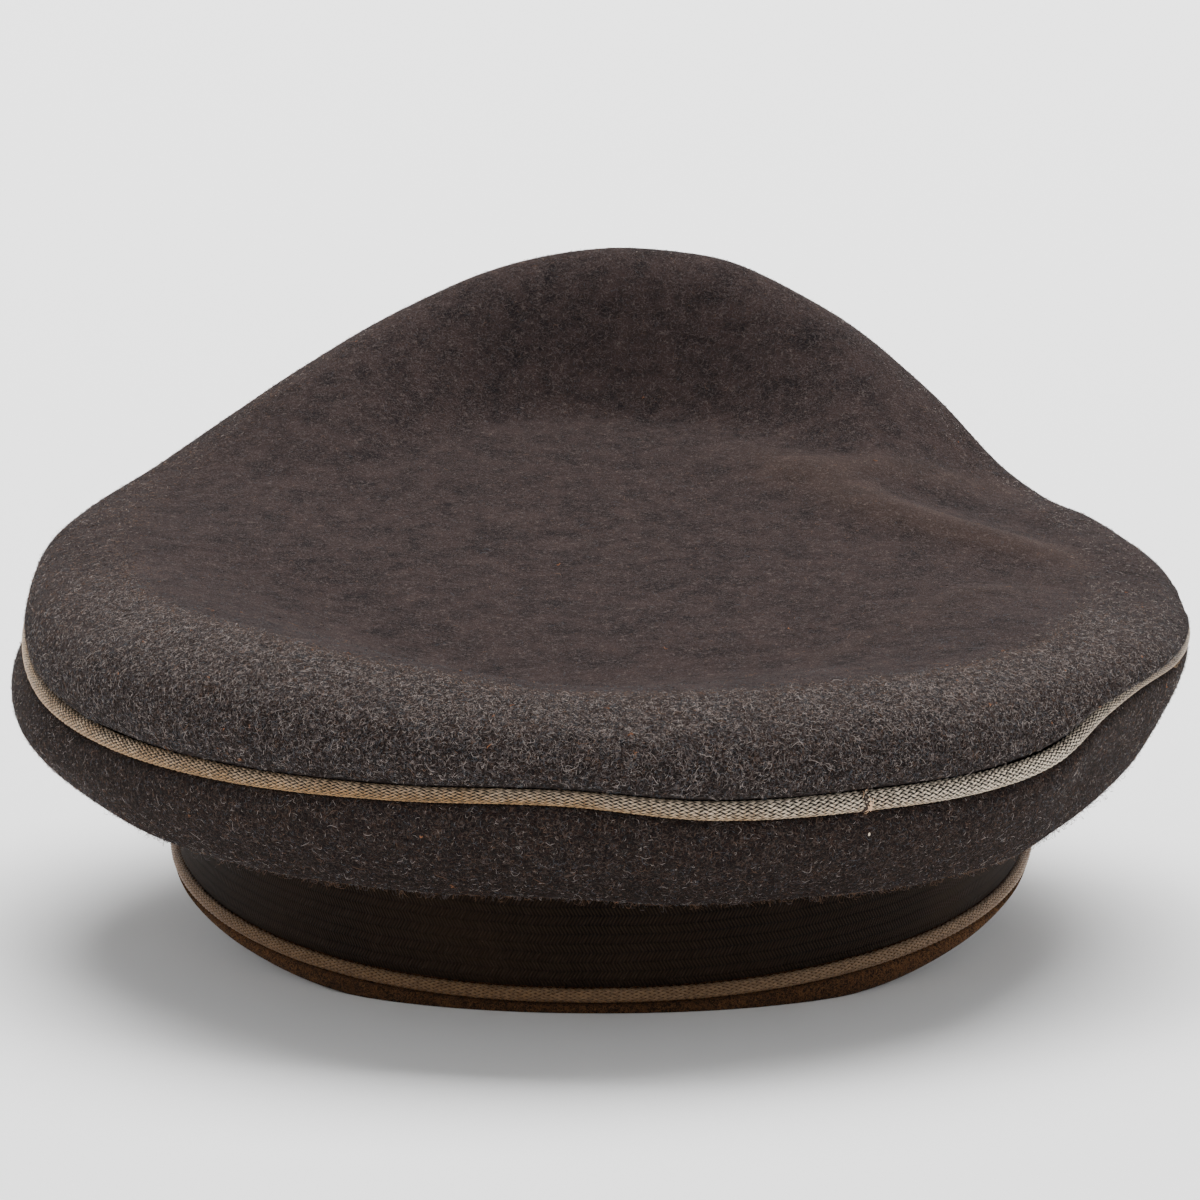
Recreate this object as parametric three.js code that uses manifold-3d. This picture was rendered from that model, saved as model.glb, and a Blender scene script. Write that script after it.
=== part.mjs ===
// A peaked cap of wool felt: a soft saddle-shaped crown that is high at the front and sags over a
// stiff band at the back, two braided pipings, a black band and a lacquered peak.
// Units are millimetres, +Z up, +Y the wearer's front. The cap stands as it would on a table: on the
// rim of its peak and on the flattened back edge of its band.
import * as THREE from 'three';
import Module from 'manifold-3d';
import { mergeVertices } from 'three/addons/utils/BufferGeometryUtils.js';

// ---- driving dimensions -------------------------------------------------------------------------
// The cap is drawn level first, in a frame with the middle of the head opening at x = y = 0 and the
// nominal foot of the band at z = 0, and is tilted onto its resting points at the end.

const HEAD = { halfWidth: 87.5, halfLength: 104.5, squareness: 2.12 };   // band, outside, size 58
const SEAM = { halfWidth: 118, back: 138, front: 134 };                  // crown seam, seen from above

const CLOTH = 2;             // wall of the wool pieces
const CLEAR = 0.3;           // gap between neighbouring pieces
const STEPS = 72;            // sections round the cap

const BAND_TOP = 43.6;       // top edge of the black band, under the sagging side
const BAND_WALL = 1.2;       // mohair skin
const BASE_WALL = 2.8;       // stiff ring behind it
const BASE_TOP = 46;
const LOWER_CORD = { out: 1.45, up: 1.3 };   // half sizes of the lower piping's section
const HEM_OUT = 0.9;         // how far the hem stands proud of the band
const FOOT = { y: -105, z: 0.7 };            // back edge of the ring, where it is flat on the table

const PEAK = { halfAngle: 63, reach: 35, drop: 29, wall: 2, bead: 1.7, tuck: 2.6, corner: 4 };

// Shape of the crown, one row for each station round it. Angles run from the back (0) round the
// right side (+) to the front (180). Heights are above the foot of the band.
//   seamZ    height of the crown piping
//   seamOut  the seam's distance outside the plain oval SEAM
//   crestZ   height of the rolled rim's crest
//   crestIn  the crest's distance inside the seam
//   dish     share of the way to the crest that is still the flat of the top
//   lip      how far the roll stands out past the seam
//   belly    how far the side panel stands out past the seam
//   sagZ     lowest level of the side panel
//   sagAt    where that is, as a share of the way from the band to the seam
//   cord     half thickness of the crown piping that shows
const STATION_COLUMNS = ['deg', 'seamZ', 'seamOut', 'crestZ', 'crestIn', 'dish',
  'lip', 'belly', 'sagZ', 'sagAt', 'cord'];
const STATIONS = [
  [-180, 91.0, 0.0, 101.5, 8, 0.72, 1.5, -8.0, 60.0, 0.38, 1.6],    // front
  [-170, 87.5, 0.0, 98.0, 8, 0.72, 1.5, -7.5, 58.5, 0.38, 1.6],
  [-159, 79.0, 0.0, 90.0, 9, 0.70, 1.5, -5.5, 55.0, 0.40, 1.6],
  [-148, 68.5, 0.0, 80.5, 10, 0.66, 1.5, -3.5, 50.0, 0.44, 1.6],
  [-137, 59.0, 0.0, 72.5, 12, 0.60, 1.5, -2.0, 44.0, 0.48, 1.6],
  [-124, 52.5, 0.0, 66.0, 15, 0.55, 1.5, -1.0, 36.0, 0.52, 1.6],
  [-108, 50.0, -0.5, 63.8, 17, 0.50, 1.5, 0.5, 30.0, 0.58, 1.6],
  [-92, 49.0, -1.8, 64.0, 18, 0.50, 0.6, 3.2, 26.8, 0.62, 1.6],     // left
  [-76, 48.5, -2.0, 64.8, 18, 0.50, 0.4, 3.8, 26.0, 0.64, 1.7],
  [-60, 47.4, -0.8, 66.3, 17, 0.52, 1.2, 2.5, 26.6, 0.61, 1.7],
  [-44, 47.5, 0.0, 68.5, 16, 0.55, 2.0, 0.8, 27.0, 0.60, 1.6],
  [-30, 49.3, 0.0, 70.0, 15, 0.60, 2.4, 0.0, 28.2, 0.60, 1.5],
  [-15, 51.6, 0.0, 68.5, 15, 0.62, 2.6, -0.6, 29.8, 0.60, 1.35],
  [-3, 52.6, 0.0, 66.5, 14, 0.62, 2.4, -0.6, 30.0, 0.60, 1.35],     // back
  [8, 49.8, 0.0, 66.0, 14, 0.62, 2.0, -0.4, 28.5, 0.60, 1.65],
  [20, 48.7, 0.0, 65.0, 14, 0.60, 1.4, -0.4, 27.4, 0.60, 1.8],
  [32, 47.6, 0.0, 63.5, 14, 0.58, 1.2, -0.8, 26.4, 0.62, 1.8],
  [40, 48.3, -0.3, 62.5, 14, 0.56, 1.2, -2.0, 26.0, 0.64, 1.7],     // a dent in the side lifts the
  [47, 52.2, -0.6, 61.5, 14, 0.55, 2.2, -3.2, 26.8, 0.64, 1.5],     // seam here
  [55, 53.5, -0.4, 61.0, 15, 0.52, 2.2, -3.0, 27.4, 0.64, 1.5],
  [66, 51.9, 0.2, 59.6, 17, 0.50, 1.0, -2.0, 27.4, 0.63, 1.6],
  [78, 50.2, 0.2, 58.4, 18, 0.50, 0.4, -1.6, 27.4, 0.60, 1.6],
  [90, 48.6, 0.0, 57.6, 18, 0.50, 0.6, -0.8, 28.0, 0.58, 1.6],      // right
  [104, 46.5, 0.0, 57.6, 16, 0.50, 1.4, -0.5, 29.5, 0.56, 1.6],
  [116, 46.5, 0.0, 58.2, 14, 0.52, 1.5, -0.5, 32.5, 0.54, 1.6],
  [125, 47.0, 0.0, 58.2, 11, 0.58, 1.5, -1.0, 36.0, 0.52, 1.6],     // kink where the stiff front ends
  [133, 53.0, 0.0, 62.3, 10, 0.64, 1.5, -1.8, 42.0, 0.48, 1.6],
  [143, 65.0, 0.0, 74.6, 10, 0.68, 1.5, -3.2, 48.5, 0.44, 1.6],
  [154, 78.0, 0.0, 88.3, 9, 0.70, 1.5, -5.5, 54.5, 0.40, 1.6],
  [165, 87.5, 0.0, 98.5, 8, 0.72, 1.5, -7.5, 58.5, 0.38, 1.6],
  [173, 90.8, 0.0, 101.3, 8, 0.72, 1.5, -8.0, 60.0, 0.38, 1.6],
];

// Foot of the band: level of the hem's underside and of the lower piping's middle.
const HEM_COLUMNS = ['deg', 'hemZ', 'cordZ'];
const HEM = [
  [-180, 0.7, 4.0],
  [-120, 0.7, 4.0],
  [-60, 0.7, 4.1],
  [-44, -0.2, 4.0],
  [-30, -1.3, 3.9],
  [-10, -1.5, 3.9],
  [10, -1.5, 4.2],
  [30, -1.2, 4.8],
  [44, 0.2, 4.9],
  [60, 1.4, 4.8],
  [100, 1.2, 4.3],
  [140, 0.7, 4.0],
];

// Folds in the flat of the top: a straight ridge (rise > 0) or furrow (rise < 0) between two points.
const FOLDS = [
  { from: [45, 52], to: [102, -18], rise: 3.4, halfWidth: 7 },
  { from: [50, 30], to: [96, -36], rise: -2.0, halfWidth: 8 },
  { from: [54, -62], to: [94, -26], rise: 1.6, halfWidth: 6 },
  { from: [-20, -70], to: [-70, -20], rise: -1.0, halfWidth: 16 },
];

// Shares of the way from the middle of the top to the crest at which it has a ring of points.
const TOP_RINGS = [0, 0.26, 0.46, 0.61, 0.74, 0.85, 0.94];

// ---- curves round the cap -----------------------------------------------------------------------

const radians = THREE.MathUtils.degToRad;

/** A smooth periodic curve through one column of a table whose first column is the angle. */
function column(table, columns, name) {
  const k = columns.indexOf(name);
  const n = table.length;
  const station = (i) => {
    const wrapped = (i + n) % n;
    return { deg: table[wrapped][0] + 360 * Math.floor(i / n), value: table[wrapped][k] };
  };
  return (deg) => {
    const turn = THREE.MathUtils.euclideanModulo(deg + 180, 360) - 180;
    let i = n - 1;
    while (table[i][0] > turn) i -= 1;
    const [a, b, c, d] = [i - 1, i, i + 1, i + 2].map(station);
    const span = c.deg - b.deg;
    const u = (turn - b.deg) / span;
    const slopeB = ((c.value - a.value) / (c.deg - a.deg)) * span;
    const slopeC = ((d.value - b.value) / (d.deg - b.deg)) * span;
    return b.value * (2 * u ** 3 - 3 * u ** 2 + 1) + slopeB * (u ** 3 - 2 * u ** 2 + u)
      + c.value * (3 * u ** 2 - 2 * u ** 3) + slopeC * (u ** 3 - u ** 2);
  };
}

const crown = {};
for (const name of STATION_COLUMNS.slice(1)) crown[name] = column(STATIONS, STATION_COLUMNS, name);
const hemZ = column(HEM, HEM_COLUMNS, 'hemZ');
const lowerCordZ = column(HEM, HEM_COLUMNS, 'cordZ');

/** Plan radius of the band's outside at an angle from the back. */
function bandRadius(deg) {
  const across = Math.abs(Math.sin(radians(deg))) / HEAD.halfWidth;
  const along = Math.abs(Math.cos(radians(deg))) / HEAD.halfLength;
  return (across ** HEAD.squareness + along ** HEAD.squareness) ** (-1 / HEAD.squareness);
}

/** Plan radius of the crown seam, an oval a little longer behind than in front. */
function seamRadius(deg) {
  const across = Math.sin(radians(deg)) / SEAM.halfWidth;
  const along = Math.cos(radians(deg)) / (Math.abs(deg) < 90 ? SEAM.back : SEAM.front);
  return 1 / Math.hypot(across, along) + crown.seamOut(deg);
}

/** Height of the flat of the top, a shallow bowl that climbs to the front, with its folds. */
function dishHeight(x, y) {
  const bowl = 0.0003 * x ** 2 + (y < 0 ? 0.00012 : 0.00038) * y ** 2;
  let z = 60.5 + 0.055 * y + bowl;
  for (const { from, to, rise, halfWidth } of FOLDS) {
    const [dx, dy] = [to[0] - from[0], to[1] - from[1]];
    const length = Math.hypot(dx, dy);
    const along = ((x - from[0]) * dx + (y - from[1]) * dy) / length;
    const aside = ((x - from[0]) * dy - (y - from[1]) * dx) / length;
    const beyond = Math.max(0, -along, along - length);
    z += rise * Math.exp(-((aside / halfWidth) ** 2) - (beyond / (1.6 * halfWidth)) ** 2);
  }
  return z;
}

// ---- sections: lists of [r, z] in the upright plane at one angle ---------------------------------

/** Points on a centripetal curve through the given ones, counts[i] of them from point i on. */
function smoothPath(points, counts) {
  const curve = new THREE.CatmullRomCurve3(
    points.map(([r, z]) => new THREE.Vector3(r, z, 0)), false, 'centripetal');
  const path = [];
  counts.forEach((count, i) => {
    for (let k = 0; k < count; k += 1) path.push(curve.getPoint((i + k / count) / counts.length));
  });
  path.push(curve.getPoint(1));
  return path.map((p) => [p.x, p.y]);
}

/** A path moved sideways by half a wall, with mitred corners. */
function offsetPath(path, distance) {
  const normal = (a, b) => new THREE.Vector2(a[1] - b[1], b[0] - a[0]).normalize();
  return path.map((p, i) => {
    const before = i > 0 ? normal(path[i - 1], p) : normal(p, path[1]);
    const after = i < path.length - 1 ? normal(p, path[i + 1]) : before;
    const middle = before.clone().add(after).normalize();
    const mitre = Math.min(1 / Math.max(middle.dot(before), 0.5), 1.5);
    return [p[0] + middle.x * distance * mitre, p[1] + middle.y * distance * mitre];
  });
}

/** The closed section of a wall whose middle line is the given path. */
function wallSection(path, wall) {
  return [...offsetPath(path, -wall / 2), ...offsetPath(path, wall / 2).reverse()];
}

/** The seam allowance: both cloths turn in behind the cord, side = 1 above it and -1 below. */
function seamTurn(seam, z, cord, side) {
  const lip = CLOTH / 2 + CLEAR;
  return [
    [seam + 0.2, z + side * (cord + lip)],
    [seam - cord - 0.5, z + side * (cord + 0.7)],
    [seam - cord - 1.6, z + side * 1.2],
    [seam - 6, z + side * 1.2],
  ];
}

function crownTopSection(deg) {
  const seam = seamRadius(deg);
  const seamZ = crown.seamZ(deg);
  const crestZ = crown.crestZ(deg) - CLOTH / 2;
  const crest = seam - crown.crestIn(deg);
  const lip = crown.lip(deg) - CLOTH / 2;
  const dish = crown.dish(deg);
  const flat = TOP_RINGS.map((share) => {
    const r = crest * share;
    const z = dishHeight(r * Math.sin(radians(deg)), -r * Math.cos(radians(deg))) - CLOTH / 2;
    return [r, THREE.MathUtils.lerp(z, crestZ, THREE.MathUtils.smoothstep(share, dish, 1))];
  });
  const roll = smoothPath([
    [crest, crestZ],
    [seam + lip - 0.2 * (seam + lip - crest), seamZ + 0.76 * (crestZ - seamZ)],
    [seam + lip, seamZ + 0.42 * (crestZ - seamZ)],
    ...seamTurn(seam, seamZ, crown.cord(deg), 1),
  ], [2, 1, 2, 1, 1, 1]);
  return wallSection([...flat, ...roll], CLOTH);
}

function sidePanelSection(deg) {
  const seam = seamRadius(deg);
  const band = bandRadius(deg);
  const seamZ = crown.seamZ(deg);
  const sagZ = crown.sagZ(deg) + CLOTH / 2;
  const path = smoothPath([
    [band - BAND_WALL, BASE_TOP - CLOTH / 2 + CLEAR],
    [band + 2, BASE_TOP - CLOTH / 2],
    [band + (seam - band) * crown.sagAt(deg), sagZ],
    [seam + crown.belly(deg) - CLOTH / 2, (sagZ + seamZ) / 2],
    ...seamTurn(seam, seamZ, crown.cord(deg), -1),
  ], [1, 2, 2, 2, 1, 1, 1]);
  return wallSection(path, CLOTH);
}

/** An oval section of a cord, with its middle at [r, z]. */
function cordSection(r, z, out, up, sides) {
  const corner = (i) => (2 * Math.PI * (i + 0.5)) / sides;
  return Array.from({ length: sides }, (_, i) =>
    [r + out * Math.cos(corner(i)), z + up * Math.sin(corner(i))]);
}

function bandSection(deg) {
  const r = bandRadius(deg);
  const foot = lowerCordZ(deg) + LOWER_CORD.up + CLEAR;
  return [[r - BAND_WALL, foot], [r, foot], [r, BAND_TOP], [r - BAND_WALL, BAND_TOP]];
}

/** The stiff ring, with its wool hem folded out under the lower piping. */
function bandBaseSection(deg) {
  const r = bandRadius(deg);
  const cordFoot = lowerCordZ(deg) - LOWER_CORD.up;
  const face = r - BAND_WALL - CLEAR;
  const bore = face - BASE_WALL;
  const foot = hemZ(deg);
  return [
    [bore, BASE_TOP],
    [bore, foot + 1],
    [bore + 1, foot],
    [r + HEM_OUT - 0.5, foot],
    [r + HEM_OUT, foot + 0.6],
    [r + HEM_OUT - 0.5, cordFoot - 0.5],
    [face, cordFoot],
    [face, BASE_TOP],
  ];
}

/** The peak's section: a curved plate that ends in a round bead. */
function peakSection(deg) {
  const aside = Math.abs(deg - 180) / PEAK.halfAngle;
  const fullness = Math.cos((Math.PI / 2) * aside) ** 0.7;
  const inner = bandRadius(deg) - PEAK.tuck;
  const reach = PEAK.tuck + THREE.MathUtils.lerp(PEAK.corner, PEAK.reach, fullness);
  const drop = THREE.MathUtils.lerp(PEAK.corner, PEAK.drop, fullness);
  const top = hemZ(180) - CLEAR - PEAK.wall / 2;
  const path = [0, 0.14, 0.35, 0.6, 0.82, 0.96].map((share) =>
    [inner + reach * share, top - drop * share ** 1.15]);
  const lower = offsetPath(path, -PEAK.wall / 2);
  const upper = offsetPath(path, PEAK.wall / 2).reverse();
  const slope = Math.atan2(drop, reach);
  const bead = [-140, -70, 0, 70, 140].map((turn) => {
    const angle = radians(turn) - slope;
    return [inner + reach + PEAK.bead * Math.cos(angle), top - drop + PEAK.bead * Math.sin(angle)];
  });
  return [...lower, ...bead, ...upper];
}

// ---- solids --------------------------------------------------------------------------------------

/** Joins one section per angle into a closed body. Points on the axis meet in one pole. */
function loft(sectionAt, degrees, { closed = true } = {}) {
  const sections = degrees.map((deg) => sectionAt(deg).map(([r, z]) =>
    [r * Math.sin(radians(deg)), -r * Math.cos(radians(deg)), z]));
  const count = sections[0].length;
  const onAxis = ([x, y]) => Math.hypot(x, y) < 1e-6;
  const positions = sections.flat(2);
  const index = [];
  const at = (i, k) => (i % sections.length) * count + (k % count);
  const strips = closed ? sections.length : sections.length - 1;
  for (let i = 0; i < strips; i += 1) {
    for (let k = 0; k < count; k += 1) {
      const here = onAxis(sections[i][k]);
      const next = onAxis(sections[i][(k + 1) % count]);
      if (!next) index.push(at(i, k), at(i + 1, k + 1), at(i, k + 1));
      if (!here) index.push(at(i, k), at(i + 1, k), at(i + 1, k + 1));
    }
  }
  if (!closed) {
    const last = sections.length - 1;
    const flat = sectionAt(degrees[0]).map(([r, z]) => new THREE.Vector2(r, z));
    const flatLast = sectionAt(degrees[last]).map(([r, z]) => new THREE.Vector2(r, z));
    for (const [a, b, c] of THREE.ShapeUtils.triangulateShape(flat, [])) {
      index.push(at(0, a), at(0, b), at(0, c));
    }
    for (const [a, b, c] of THREE.ShapeUtils.triangulateShape(flatLast, [])) {
      index.push(at(last, a), at(last, c), at(last, b));
    }
  }
  const geometry = new THREE.BufferGeometry();
  geometry.setAttribute('position', new THREE.Float32BufferAttribute(positions, 3));
  geometry.setIndex(index);
  return mergeVertices(geometry);
}

const allRound = Array.from({ length: STEPS }, (_, i) => -180 + (360 * i) / STEPS);

const wasm = await Module();
wasm.setup();

function toManifold(geometry) {
  return new wasm.Manifold(new wasm.Mesh({
    numProp: 3,
    vertProperties: new Float32Array(geometry.attributes.position.array),
    triVerts: new Uint32Array(geometry.index.array),
  }));
}

function toGeometry(manifold) {
  const mesh = manifold.getMesh();
  const geometry = new THREE.BufferGeometry();
  geometry.setAttribute('position', new THREE.BufferAttribute(mesh.vertProperties, 3));
  geometry.setIndex(new THREE.BufferAttribute(mesh.triVerts, 1));
  return geometry;
}

// ---- how it stands -------------------------------------------------------------------------------

// The table touches the back of the foot and the underside of the peak's bead: a line through FOOT
// that is tangent to the bead gives the tilt.
const tip = {
  y: bandRadius(180) + PEAK.reach,
  z: hemZ(180) - CLEAR - PEAK.wall / 2 - PEAK.drop,
};
const toTip = new THREE.Vector2(tip.y - FOOT.y, FOOT.z - tip.z);
const REST_TILT = toTip.angle() + Math.asin(PEAK.bead / toTip.length());

/** Everything under the table top, in the level frame. */
function tableBlock() {
  const size = 400;
  const block = new THREE.BoxGeometry(size, size, size);
  block.translate(0, size / 2 - 20, -size / 2);
  block.rotateX(-REST_TILT);
  block.translate(0, FOOT.y, FOOT.z);
  block.deleteAttribute('normal');
  block.deleteAttribute('uv');
  return mergeVertices(block);
}

const bandBase = toGeometry(
  toManifold(loft(bandBaseSection, allRound)).subtract(toManifold(tableBlock())));

const peakAngles = Array.from({ length: 21 }, (_, i) => 180 + PEAK.halfAngle * (i / 10 - 1));

// ---- materials and the assembly ------------------------------------------------------------------

const wool = new THREE.MeshStandardMaterial({ color: '#4d494a', roughness: 0.95, metalness: 0 });
const piping = new THREE.MeshStandardMaterial({ color: '#a39b8c', roughness: 0.5, metalness: 0.6 });
const wornPiping = new THREE.MeshStandardMaterial({ color: '#7d7263', roughness: 0.6, metalness: 0.4 });
const mohair = new THREE.MeshStandardMaterial({ color: '#161412', roughness: 0.8, metalness: 0 });
const hem = new THREE.MeshStandardMaterial({ color: '#3d2e27', roughness: 0.95, metalness: 0 });
const lacquer = new THREE.MeshStandardMaterial({ color: '#0c0c0d', roughness: 0.15, metalness: 0 });

const level = new THREE.Group();

function add(name, geometry, material) {
  const mesh = new THREE.Mesh(geometry, material.clone());
  mesh.name = name;
  level.add(mesh);
}

const crownCord = (deg) =>
  cordSection(seamRadius(deg), crown.seamZ(deg), crown.cord(deg), crown.cord(deg), 6);
const lowerCord = (deg) =>
  cordSection(bandRadius(deg) + LOWER_CORD.out - BAND_WALL, lowerCordZ(deg),
    LOWER_CORD.out, LOWER_CORD.up, 6);

add('crown_top', loft(crownTopSection, allRound), wool);
add('side_panel', loft(sidePanelSection, allRound), wool);
add('crown_piping', loft(crownCord, allRound), piping);
add('band_base', bandBase, hem);
add('band', loft(bandSection, allRound), mohair);
add('lower_piping', loft(lowerCord, allRound), wornPiping);
add('peak', loft(peakSection, peakAngles, { closed: false }), lacquer);

// Tilt the level cap onto its resting points, then put the origin under the middle of its box.
const visorCap = new THREE.Group();
visorCap.add(level);
level.rotation.x = REST_TILT;
const box = new THREE.Box3().setFromObject(visorCap, true);
const centre = box.getCenter(new THREE.Vector3());
level.position.set(-centre.x, -centre.y, -box.min.z);

export default visorCap;
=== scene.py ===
"""A peaked cap of grey-brown wool felt, seen from behind: the soft crown with its nap of loose
fibres, the two plaited cords, the ribbed mohair band, the worn wool hem and the lacquered peak.

The cap is drawn level, in millimetres, with the middle of the head opening at x = y = 0 and the
foot of the band at z = 0. to_part() tilts and moves that to the part's own frame, in metres."""
import functools
import math

import bmesh
import bpy
import numpy as np
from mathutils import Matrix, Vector


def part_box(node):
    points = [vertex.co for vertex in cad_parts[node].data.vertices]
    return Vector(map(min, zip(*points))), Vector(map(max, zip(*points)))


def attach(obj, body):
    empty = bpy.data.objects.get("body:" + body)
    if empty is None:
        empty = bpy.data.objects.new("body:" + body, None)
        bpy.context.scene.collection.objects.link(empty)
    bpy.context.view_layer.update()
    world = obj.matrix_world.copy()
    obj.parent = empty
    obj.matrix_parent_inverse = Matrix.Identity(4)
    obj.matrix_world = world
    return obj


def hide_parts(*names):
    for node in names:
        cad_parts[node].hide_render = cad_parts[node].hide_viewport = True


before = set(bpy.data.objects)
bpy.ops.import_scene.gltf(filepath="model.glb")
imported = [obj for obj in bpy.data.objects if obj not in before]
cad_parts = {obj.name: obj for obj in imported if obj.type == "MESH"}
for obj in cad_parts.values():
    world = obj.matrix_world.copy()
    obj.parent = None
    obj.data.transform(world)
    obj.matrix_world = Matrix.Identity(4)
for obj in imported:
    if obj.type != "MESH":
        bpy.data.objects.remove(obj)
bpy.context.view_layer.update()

# ---- driving dimensions, in millimetres ----
# They are the solids' own, apart from four things that are drawn finer here: the folds of the top,
# the seam's height from -60 to -30 degrees, the cord's thickness from 40 to 90 degrees and the
# groove beside the cord.

HEAD = {"half_width": 87.5, "half_length": 104.5, "squareness": 2.12}
SEAM = {"half_width": 118, "back": 138, "front": 134}
CLOTH = 2.0           # wall of the wool pieces
CLEAR = 0.3           # gap between neighbouring pieces
BAND_TOP = 43.6       # upper edge of the mohair band
BAND_WALL = 1.2
BASE_WALL = 2.8       # wall of the stiff ring behind the band
BASE_TOP = 46.0       # upper edge of the ring, where the side's cloth bends over it
LOWER_CORD = {"out": 1.45, "up": 1.3}    # half sizes of its section
GROOVE = 0.25         # stays open between the crown's cord and the cloth above and below it
HEM_OUT = 0.9         # the hem stands out this far beyond the band
FOOT = {"y": -105.0, "z": 0.7}           # where the hem stands on the table, at the back
PEAK = {"half_angle": 63, "reach": 35, "drop": 29, "wall": 2, "bead": 1.7, "tuck": 2.6, "corner": 4}

# The crown at stations round it, in degrees from the back (0) round the right side (+) to the front.
STATION_COLUMNS = ("deg", "seam_z", "seam_out", "crest_z", "crest_in", "dish",
                   "lip", "belly", "sag_z", "sag_at", "cord")
STATIONS = (
    (-180, 91.0, 0.0, 101.5, 8, 0.72, 1.5, -8.0, 60.0, 0.38, 1.6),    # front
    (-170, 87.5, 0.0, 98.0, 8, 0.72, 1.5, -7.5, 58.5, 0.38, 1.6),
    (-159, 79.0, 0.0, 90.0, 9, 0.70, 1.5, -5.5, 55.0, 0.40, 1.6),
    (-148, 68.5, 0.0, 80.5, 10, 0.66, 1.5, -3.5, 50.0, 0.44, 1.6),
    (-137, 59.0, 0.0, 72.5, 12, 0.60, 1.5, -2.0, 44.0, 0.48, 1.6),
    (-124, 52.5, 0.0, 66.0, 15, 0.55, 1.5, -1.0, 36.0, 0.52, 1.6),
    (-108, 50.0, -0.5, 63.8, 17, 0.50, 1.5, 0.5, 30.0, 0.58, 1.6),
    (-92, 49.0, -1.8, 64.0, 18, 0.50, 0.6, 3.2, 26.8, 0.62, 1.6),     # left
    (-76, 48.5, -2.0, 64.8, 18, 0.50, 0.4, 3.8, 26.0, 0.64, 1.7),
    (-60, 47.6, -0.8, 66.3, 17, 0.52, 1.2, 2.5, 26.6, 0.61, 1.7),
    (-44, 48.2, 0.0, 68.5, 16, 0.55, 2.0, 0.8, 27.0, 0.60, 1.6),
    (-30, 49.6, 0.0, 70.0, 15, 0.60, 2.4, 0.0, 28.2, 0.60, 1.5),
    (-15, 51.6, 0.0, 68.5, 15, 0.62, 2.6, -0.6, 29.8, 0.60, 1.35),
    (-3, 52.6, 0.0, 66.5, 14, 0.62, 2.4, -0.6, 30.0, 0.60, 1.35),     # back
    (8, 49.8, 0.0, 66.0, 14, 0.62, 2.0, -0.4, 28.5, 0.60, 1.65),
    (20, 48.7, 0.0, 65.0, 14, 0.60, 1.4, -0.4, 27.4, 0.60, 1.8),
    (32, 47.6, 0.0, 63.5, 14, 0.58, 1.2, -0.8, 26.4, 0.62, 1.8),
    (40, 48.3, -0.3, 62.5, 14, 0.56, 1.2, -2.0, 26.0, 0.64, 1.6),     # the dent in the side
    (47, 52.2, -0.6, 61.5, 14, 0.55, 2.2, -3.2, 26.8, 0.64, 1.3),
    (55, 53.5, -0.4, 61.0, 15, 0.52, 2.2, -3.0, 27.4, 0.64, 1.1),
    (66, 51.9, 0.2, 59.6, 17, 0.50, 1.0, -2.0, 27.4, 0.63, 1.1),
    (78, 50.2, 0.2, 58.4, 18, 0.50, 0.4, -1.6, 27.4, 0.60, 1.25),
    (90, 48.6, 0.0, 57.6, 18, 0.50, 0.6, -0.8, 28.0, 0.58, 1.45),     # right
    (104, 46.5, 0.0, 57.6, 16, 0.50, 1.4, -0.5, 29.5, 0.56, 1.6),
    (116, 46.5, 0.0, 58.2, 14, 0.52, 1.5, -0.5, 32.5, 0.54, 1.6),
    (125, 47.0, 0.0, 58.2, 11, 0.58, 1.5, -1.0, 36.0, 0.52, 1.6),
    (133, 53.0, 0.0, 62.3, 10, 0.64, 1.5, -1.8, 42.0, 0.48, 1.6),
    (143, 65.0, 0.0, 74.6, 10, 0.68, 1.5, -3.2, 48.5, 0.44, 1.6),
    (154, 78.0, 0.0, 88.3, 9, 0.70, 1.5, -5.5, 54.5, 0.40, 1.6),
    (165, 87.5, 0.0, 98.5, 8, 0.72, 1.5, -7.5, 58.5, 0.38, 1.6),
    (173, 90.8, 0.0, 101.3, 8, 0.72, 1.5, -8.0, 60.0, 0.38, 1.6),
)
HEM_COLUMNS = ("deg", "hem_z", "cord_z")
HEM = (
    (-180, 0.7, 4.0), (-120, 0.7, 4.0), (-60, 0.7, 4.1), (-44, -0.2, 4.0), (-30, -1.3, 3.9),
    (-10, -1.5, 3.9), (10, -1.5, 4.2), (30, -1.2, 4.8), (44, 0.2, 4.9), (60, 1.4, 4.8),
    (100, 1.2, 4.3), (140, 0.7, 4.0),
)

# The flat of the top: its height in the middle, its climb to the front, and how it bends up across,
# behind the middle and ahead of it.
DISH = {"z": 60.5, "climb": 0.055, "across": 0.0003, "behind": 0.00012, "ahead": 0.00038}
# Ridges (rise > 0) and hollows of the top: from x, y to x, y, rise, half width.
FOLDS = (
    (42, 54, 62, 24, 1.6, 9),
    (60, 26, 80, 14, 1.3, 8),
    (80, 14, 108, 5, 1.5, 8),
    (48, 52, 92, 66, 1.2, 8),
    (78, 40, 100, 36, -1.4, 10),
    (84, -16, 104, -22, -1.0, 10),
    (46, -66, 78, -27, 0.5, 6),
    (78, -27, 99, -4, 0.5, 6),
    (-20, -70, -70, -20, -1.0, 16),
)


# ---- curves round the cap ----

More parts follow.
